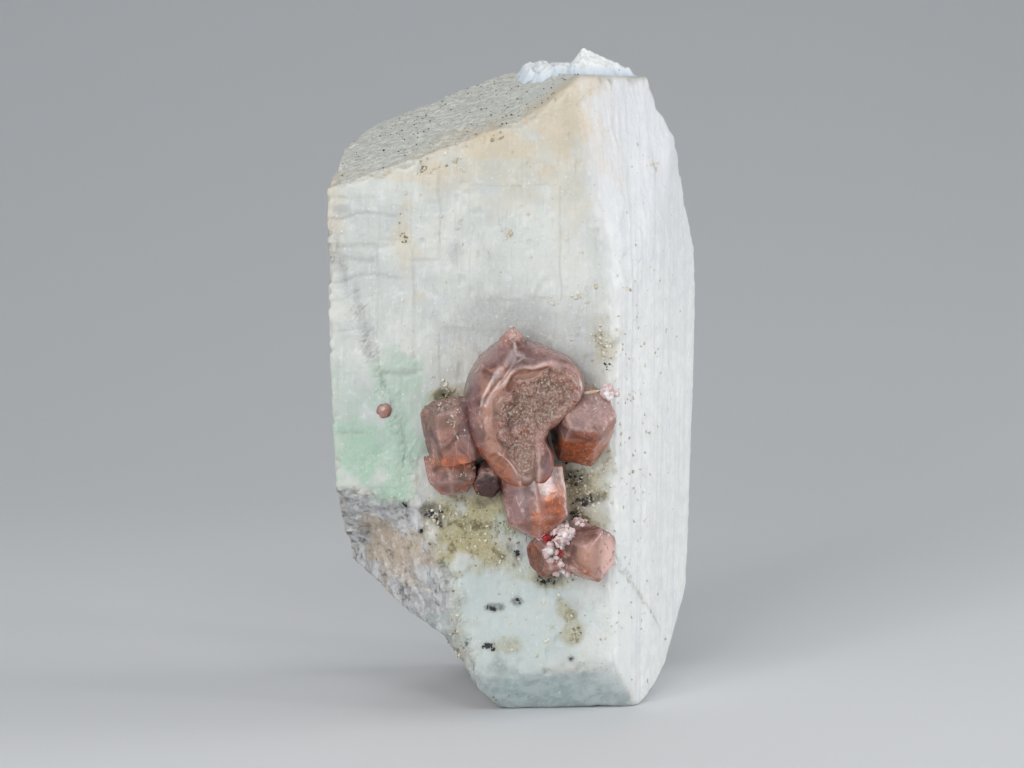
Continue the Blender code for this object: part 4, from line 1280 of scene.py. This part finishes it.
def grains(name, centres, size, stretch, seed, roughness, material, **shape):
    """One piece of many lumps, with random sizes and random stretches along three axes."""
    sizes = rng.uniform(*size, (len(centres), 1)) * rng.uniform(*stretch, (len(centres), 3))
    piece = lumps_mesh(name, centres, sizes, seed, roughness, **shape)
    piece.data.materials.append(material)
    return piece


# Where the grains lie: picture place, half-width, half-height, and how many.
PALE_SPOTS = [(530, 260, 190, 130, 90), (640, 400, 40, 230, 110), (560, 620, 90, 60, 60),
              (455, 640, 10, 60, 26), (606, 355, 16, 26, 34), (600, 480, 22, 50, 40),
              (632, 400, 7, 5, 14), (425, 175, 14, 6, 16), (457, 170, 6, 8, 12),
              (508, 240, 6, 6, 9), (580, 297, 8, 12, 12), (553, 305, 8, 5, 6),
              (575, 540, 40, 30, 26), (500, 560, 40, 20, 30), (470, 530, 40, 30, 30),
              (578, 495, 18, 26, 60), (440, 512, 16, 10, 24), (655, 172, 6, 10, 10),
              (545, 340, 60, 16, 20), (440, 385, 16, 10, 12)]
crumbs = grains("pale_crumbs", front_scatter(PALE_SPOTS, 21, feldspar), (0.10, 0.30), (0.5, 1.7),
                22, 0.5, plain_grain("pale_crumb", (0.56, 0.50, 0.36), (0.82, 0.80, 0.72), 0.5))

TAN_SPOTS = [(480, 530, 46, 34, 80), (450, 398, 12, 10, 26), (575, 500, 26, 40, 46),
             (560, 575, 30, 10, 26), (568, 612, 9, 10, 14), (574, 634, 9, 9, 12),
             (430, 172, 14, 4, 10), (495, 143, 8, 4, 6), (404, 232, 5, 14, 10),
             (600, 340, 8, 16, 14), (500, 700, 26, 6, 8), (452, 655, 6, 50, 24)]
tan_stone = plain_grain("tan_crumb", (0.24, 0.19, 0.09), (0.50, 0.44, 0.28), 0.6)
tan_crumbs = grains("tan_crumbs", front_scatter(TAN_SPOTS, 31, feldspar), (0.10, 0.26),
                    (0.6, 1.6), 32, 0.5, tan_stone)

BLACK_SPOTS = [(447, 396, 5, 5, 10), (432, 512, 9, 6, 22), (438, 521, 4, 5, 9),
               (405, 503, 2, 2, 4), (576, 478, 8, 8, 24), (585, 500, 9, 5, 26),
               (575, 514, 7, 6, 18), (546, 577, 9, 5, 24), (492, 606, 4, 2, 9),
               (518, 599, 3, 2, 5), (518, 551, 4, 5, 8), (488, 644, 8, 3, 20),
               (571, 658, 2, 1, 3), (421, 531, 2, 2, 5), (606, 366, 3, 3, 4),
               (566, 460, 5, 3, 8)]
black_stone = plain_grain("black_grain", (0.010, 0.010, 0.012), (0.045, 0.045, 0.05), 0.25)
black = grains("black_grains", front_scatter(BLACK_SPOTS, 41, feldspar), (0.10, 0.30), (0.5, 1.9),
               42, 0.6, black_stone, columns=6, rows=4, smooth=False)

# The roof's dark specks lie densest along its middle, and none lie on the crust.
ROOF_SPECKS, ABOVE_ALL = 330, 160.0
roof_x, roof_y = rng.uniform(-34.0, 14.0, ROOF_SPECKS), rng.uniform(-17.0, 12.5, ROOF_SPECKS)
dense = rng.random(ROOF_SPECKS) < 0.35 + 0.65 * np.exp(-((roof_x - 2.0) / 11.0) ** 2)
above = np.stack([roof_x, roof_y, np.full(ROOF_SPECKS, ABOVE_ALL)], axis=-1)[dense]
centres = dropped(above, (0, 0, -1), feldspar)
centres = centres[centres[:, 2] < crown_height(centres[:, 0], centres[:, 1]) + 1.0]
specks = grains("roof_specks", centres, (0.08, 0.20), (0.7, 1.4), 52, 0.25, black_stone,
                columns=6, rows=3, smooth=False)

# The broken prism's filling.
# Where the lying prism is broken through, pale pink and white crumbs fill the gap, with clear deep
# red splinters showing between them. A paler crumb also sits at the right prism's upper corner.


def glassy_grain(name, colour_low, colour_high, roughness, veil):
    """A clear stone between two colours, with a pale veil of some strength."""
    material, tree, shader, _, grain = mineral(name, 1.2, 0.4, 0.5)
    colour = tinted(tree, colour_low, colour_high, ranged(tree, grain["Clouds"], 0.35, 0.65))
    veiled = ranged(tree, grain["Grain"], 0.52, 0.70)
    colour = laid_over(tree, colour, ((0.85, 0.78, 0.76), veiled, veil))
    tree.links.new(colour, shader.inputs["Base Color"])
    rough = ranged(tree, grain["Grain"], 0.3, 0.7, roughness, roughness + 0.15)
    tree.links.new(rough, shader.inputs["Roughness"])
    settle(shader, {"Subsurface Weight": 0.35, "Subsurface Radius": (1.0, 0.45, 0.35),
                    "Subsurface Scale": 0.0012, "IOR": 1.63})
    return material


# Each heap: picture place, half-width, half-height, nearest and farthest y, and how many lumps.
PINK_HEAPS = [(563, 535, 13, 13, -26.8, -22.5, 70), (551, 549, 9, 12, -25.8, -22.0, 44),
              (566, 560, 10, 7, -24.4, -22.0, 26), (568, 569, 14, 4, -23.0, -20.5, 22),
              (582, 523, 8, 5, -23.5, -20.0, 12), (544, 532, 4, 3, -24.4, -22.5, 8),
              (608, 392, 7, 6, -25.5, -24.0, 26)]
RED_GAPS = [(549, 534, 7, 3, 14), (562, 549, 6, 4, 16), (573, 549, 4, 5, 12), (575, 556, 3, 3, 5)]


def heaped(heaps, seed):
    """Random middles in upright ellipses, with y between two limits; nearest in each middle."""
    rng = np.random.default_rng(seed)
    middles = []
    for px, py, wide, high, y_near, y_far, count in heaps:
        turn, reach = rng.uniform(0.0, 2 * math.pi, count), np.sqrt(rng.random(count))
        x, z = on_front(px + wide * reach * np.cos(turn), py + high * reach * np.sin(turn))
        depth = np.clip(reach ** 2 + rng.uniform(-0.2, 0.2, count), 0.0, 1.0)
        y = y_near + (y_far - y_near) * depth
        middles.append(np.stack([x, y, z + 0.12 * (FRONT - y)], axis=-1))
    return np.concatenate(middles)


pink_middles = heaped(PINK_HEAPS, 61)
in_gap = np.zeros(len(pink_middles), bool)
for px, py, wide, high, _ in RED_GAPS:
    x, z = on_front(px, py)
    aside, above = pink_middles[:, 0] - x, pink_middles[:, 2] - z - 0.6
    over = np.hypot(aside / (0.2 * wide), above / (0.2 * high))
    in_gap = in_gap | (over < 0.9)
pink_stone = glassy_grain("pink_crumb", (0.66, 0.42, 0.41), (0.92, 0.80, 0.78), 0.12, 0.85)
pink = grains("pink_crumbs", pink_middles[~in_gap], (0.40, 0.90), (0.7, 1.3), 62, 0.45,
              pink_stone, columns=8, rows=6)

red_heaps = [(px, py, wide, high, -25.0, -23.6, count) for px, py, wide, high, count in RED_GAPS]
red_stone = glassy_grain("deep_red_apatite", (0.20, 0.004, 0.006), (0.50, 0.012, 0.018), 0.05,
                         0.05)
red = grains("deep_red_splinters", heaped(red_heaps, 63), (0.35, 0.75), (0.6, 1.5), 64, 0.35,
             red_stone, columns=6, rows=4, smooth=False)

# Crumbs that lie on the apatites themselves: tan on the left pair, white sparks in the hollow.
ON_APATITE = [(440, 402, 12, 5, 34), (455, 412, 6, 8, 22), (470, 462, 8, 3, 14),
              (465, 470, 12, 4, 16), (428, 458, 3, 6, 8), (460, 428, 8, 6, 12),
              (530, 405, 26, 18, 26), (520, 450, 8, 14, 12), (506, 408, 3, 3, 4),
              (517, 417, 3, 3, 4), (552, 376, 10, 8, 12), (513, 334, 6, 4, 10),
              (545, 348, 12, 3, 8), (475, 492, 5, 3, 4), (596, 398, 8, 6, 10)]
spark_stone = plain_grain("apatite_crumb", (0.36, 0.27, 0.19), (0.70, 0.62, 0.54), 0.3)
sparks = grains("crumbs_on_apatite", front_scatter(ON_APATITE, 71, *crystals), (0.07, 0.20),
                (0.6, 1.6), 72, 0.4, spark_stone)


# The splinters.
# A golden splinter that lies on the left upper barrel, and a cream sliver along the top of the
# right prism. Each is a thin blade that tapers to both ends.


def thin_blade(name, start, end, width, material, bend):
    """A blade swept from start to end. Its section is an ellipse, widest a third of the way."""
    start, end = np.array(start), np.array(end)
    rows, columns = 26, 10
    along = np.linspace(0.0, 1.0, rows)[:, None]
    turn = np.linspace(0.0, 2 * math.pi, columns, endpoint=False)
    forwards = (end - start) / np.linalg.norm(end - start)
    beside = np.cross(forwards, [0.0, 1.0, 0.0])
    beside = beside / np.linalg.norm(beside)
    outwards = np.cross(beside, forwards)
    half = width * (np.sin(math.pi * along ** 0.7) ** 0.6 + 0.04)
    places = np.pad(along * 7.0, ((0, 0), (0, 2)))
    half = half * (1.0 + 0.25 * lattice_noise(places, 75)[:, None])
    middle = start + (end - start) * along + bend * np.sin(math.pi * along) * outwards
    wide, thick = half * np.cos(turn), 0.5 * (half * np.sin(turn))
    points = middle[:, None] + wide[..., None] * beside + thick[..., None] * outwards
    blade = mesh_from_grid(name, np.clip(points, box_low, box_high), closed_round=True)
    blade.data.materials.append(material)
    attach(blade, "root")


gold = plain_grain("golden_splinter_stone", (0.50, 0.34, 0.12), (0.86, 0.70, 0.40), 0.25)
cream = plain_grain("cream_sliver_stone", (0.66, 0.52, 0.34), (0.88, 0.82, 0.68), 0.35)


def touched(px, py, *pieces):
    """Where a line through a picture place first meets one of some pieces."""
    return front_scatter([(px, py, 0, 0, 1)], 1, *pieces)[0]


splinter_top = touched(459.0, 402.0, *crystals, feldspar) + np.array([0, -0.3, 0])
splinter_foot = touched(454.5, 421.0, *crystals, feldspar) + np.array([0, -0.2, 0])
thin_blade("golden_splinter", splinter_top, splinter_foot, 0.26, gold, 0.2)
sliver_left = touched(583.0, 390.0, *crystals, feldspar) + np.array([0, -0.3, 0.2])
sliver_right = touched(601.0, 388.5, *crystals) + np.array([0, -0.2, 0.4])
thin_blade("cream_sliver", sliver_left, sliver_right, 0.30, cream, 0.2)
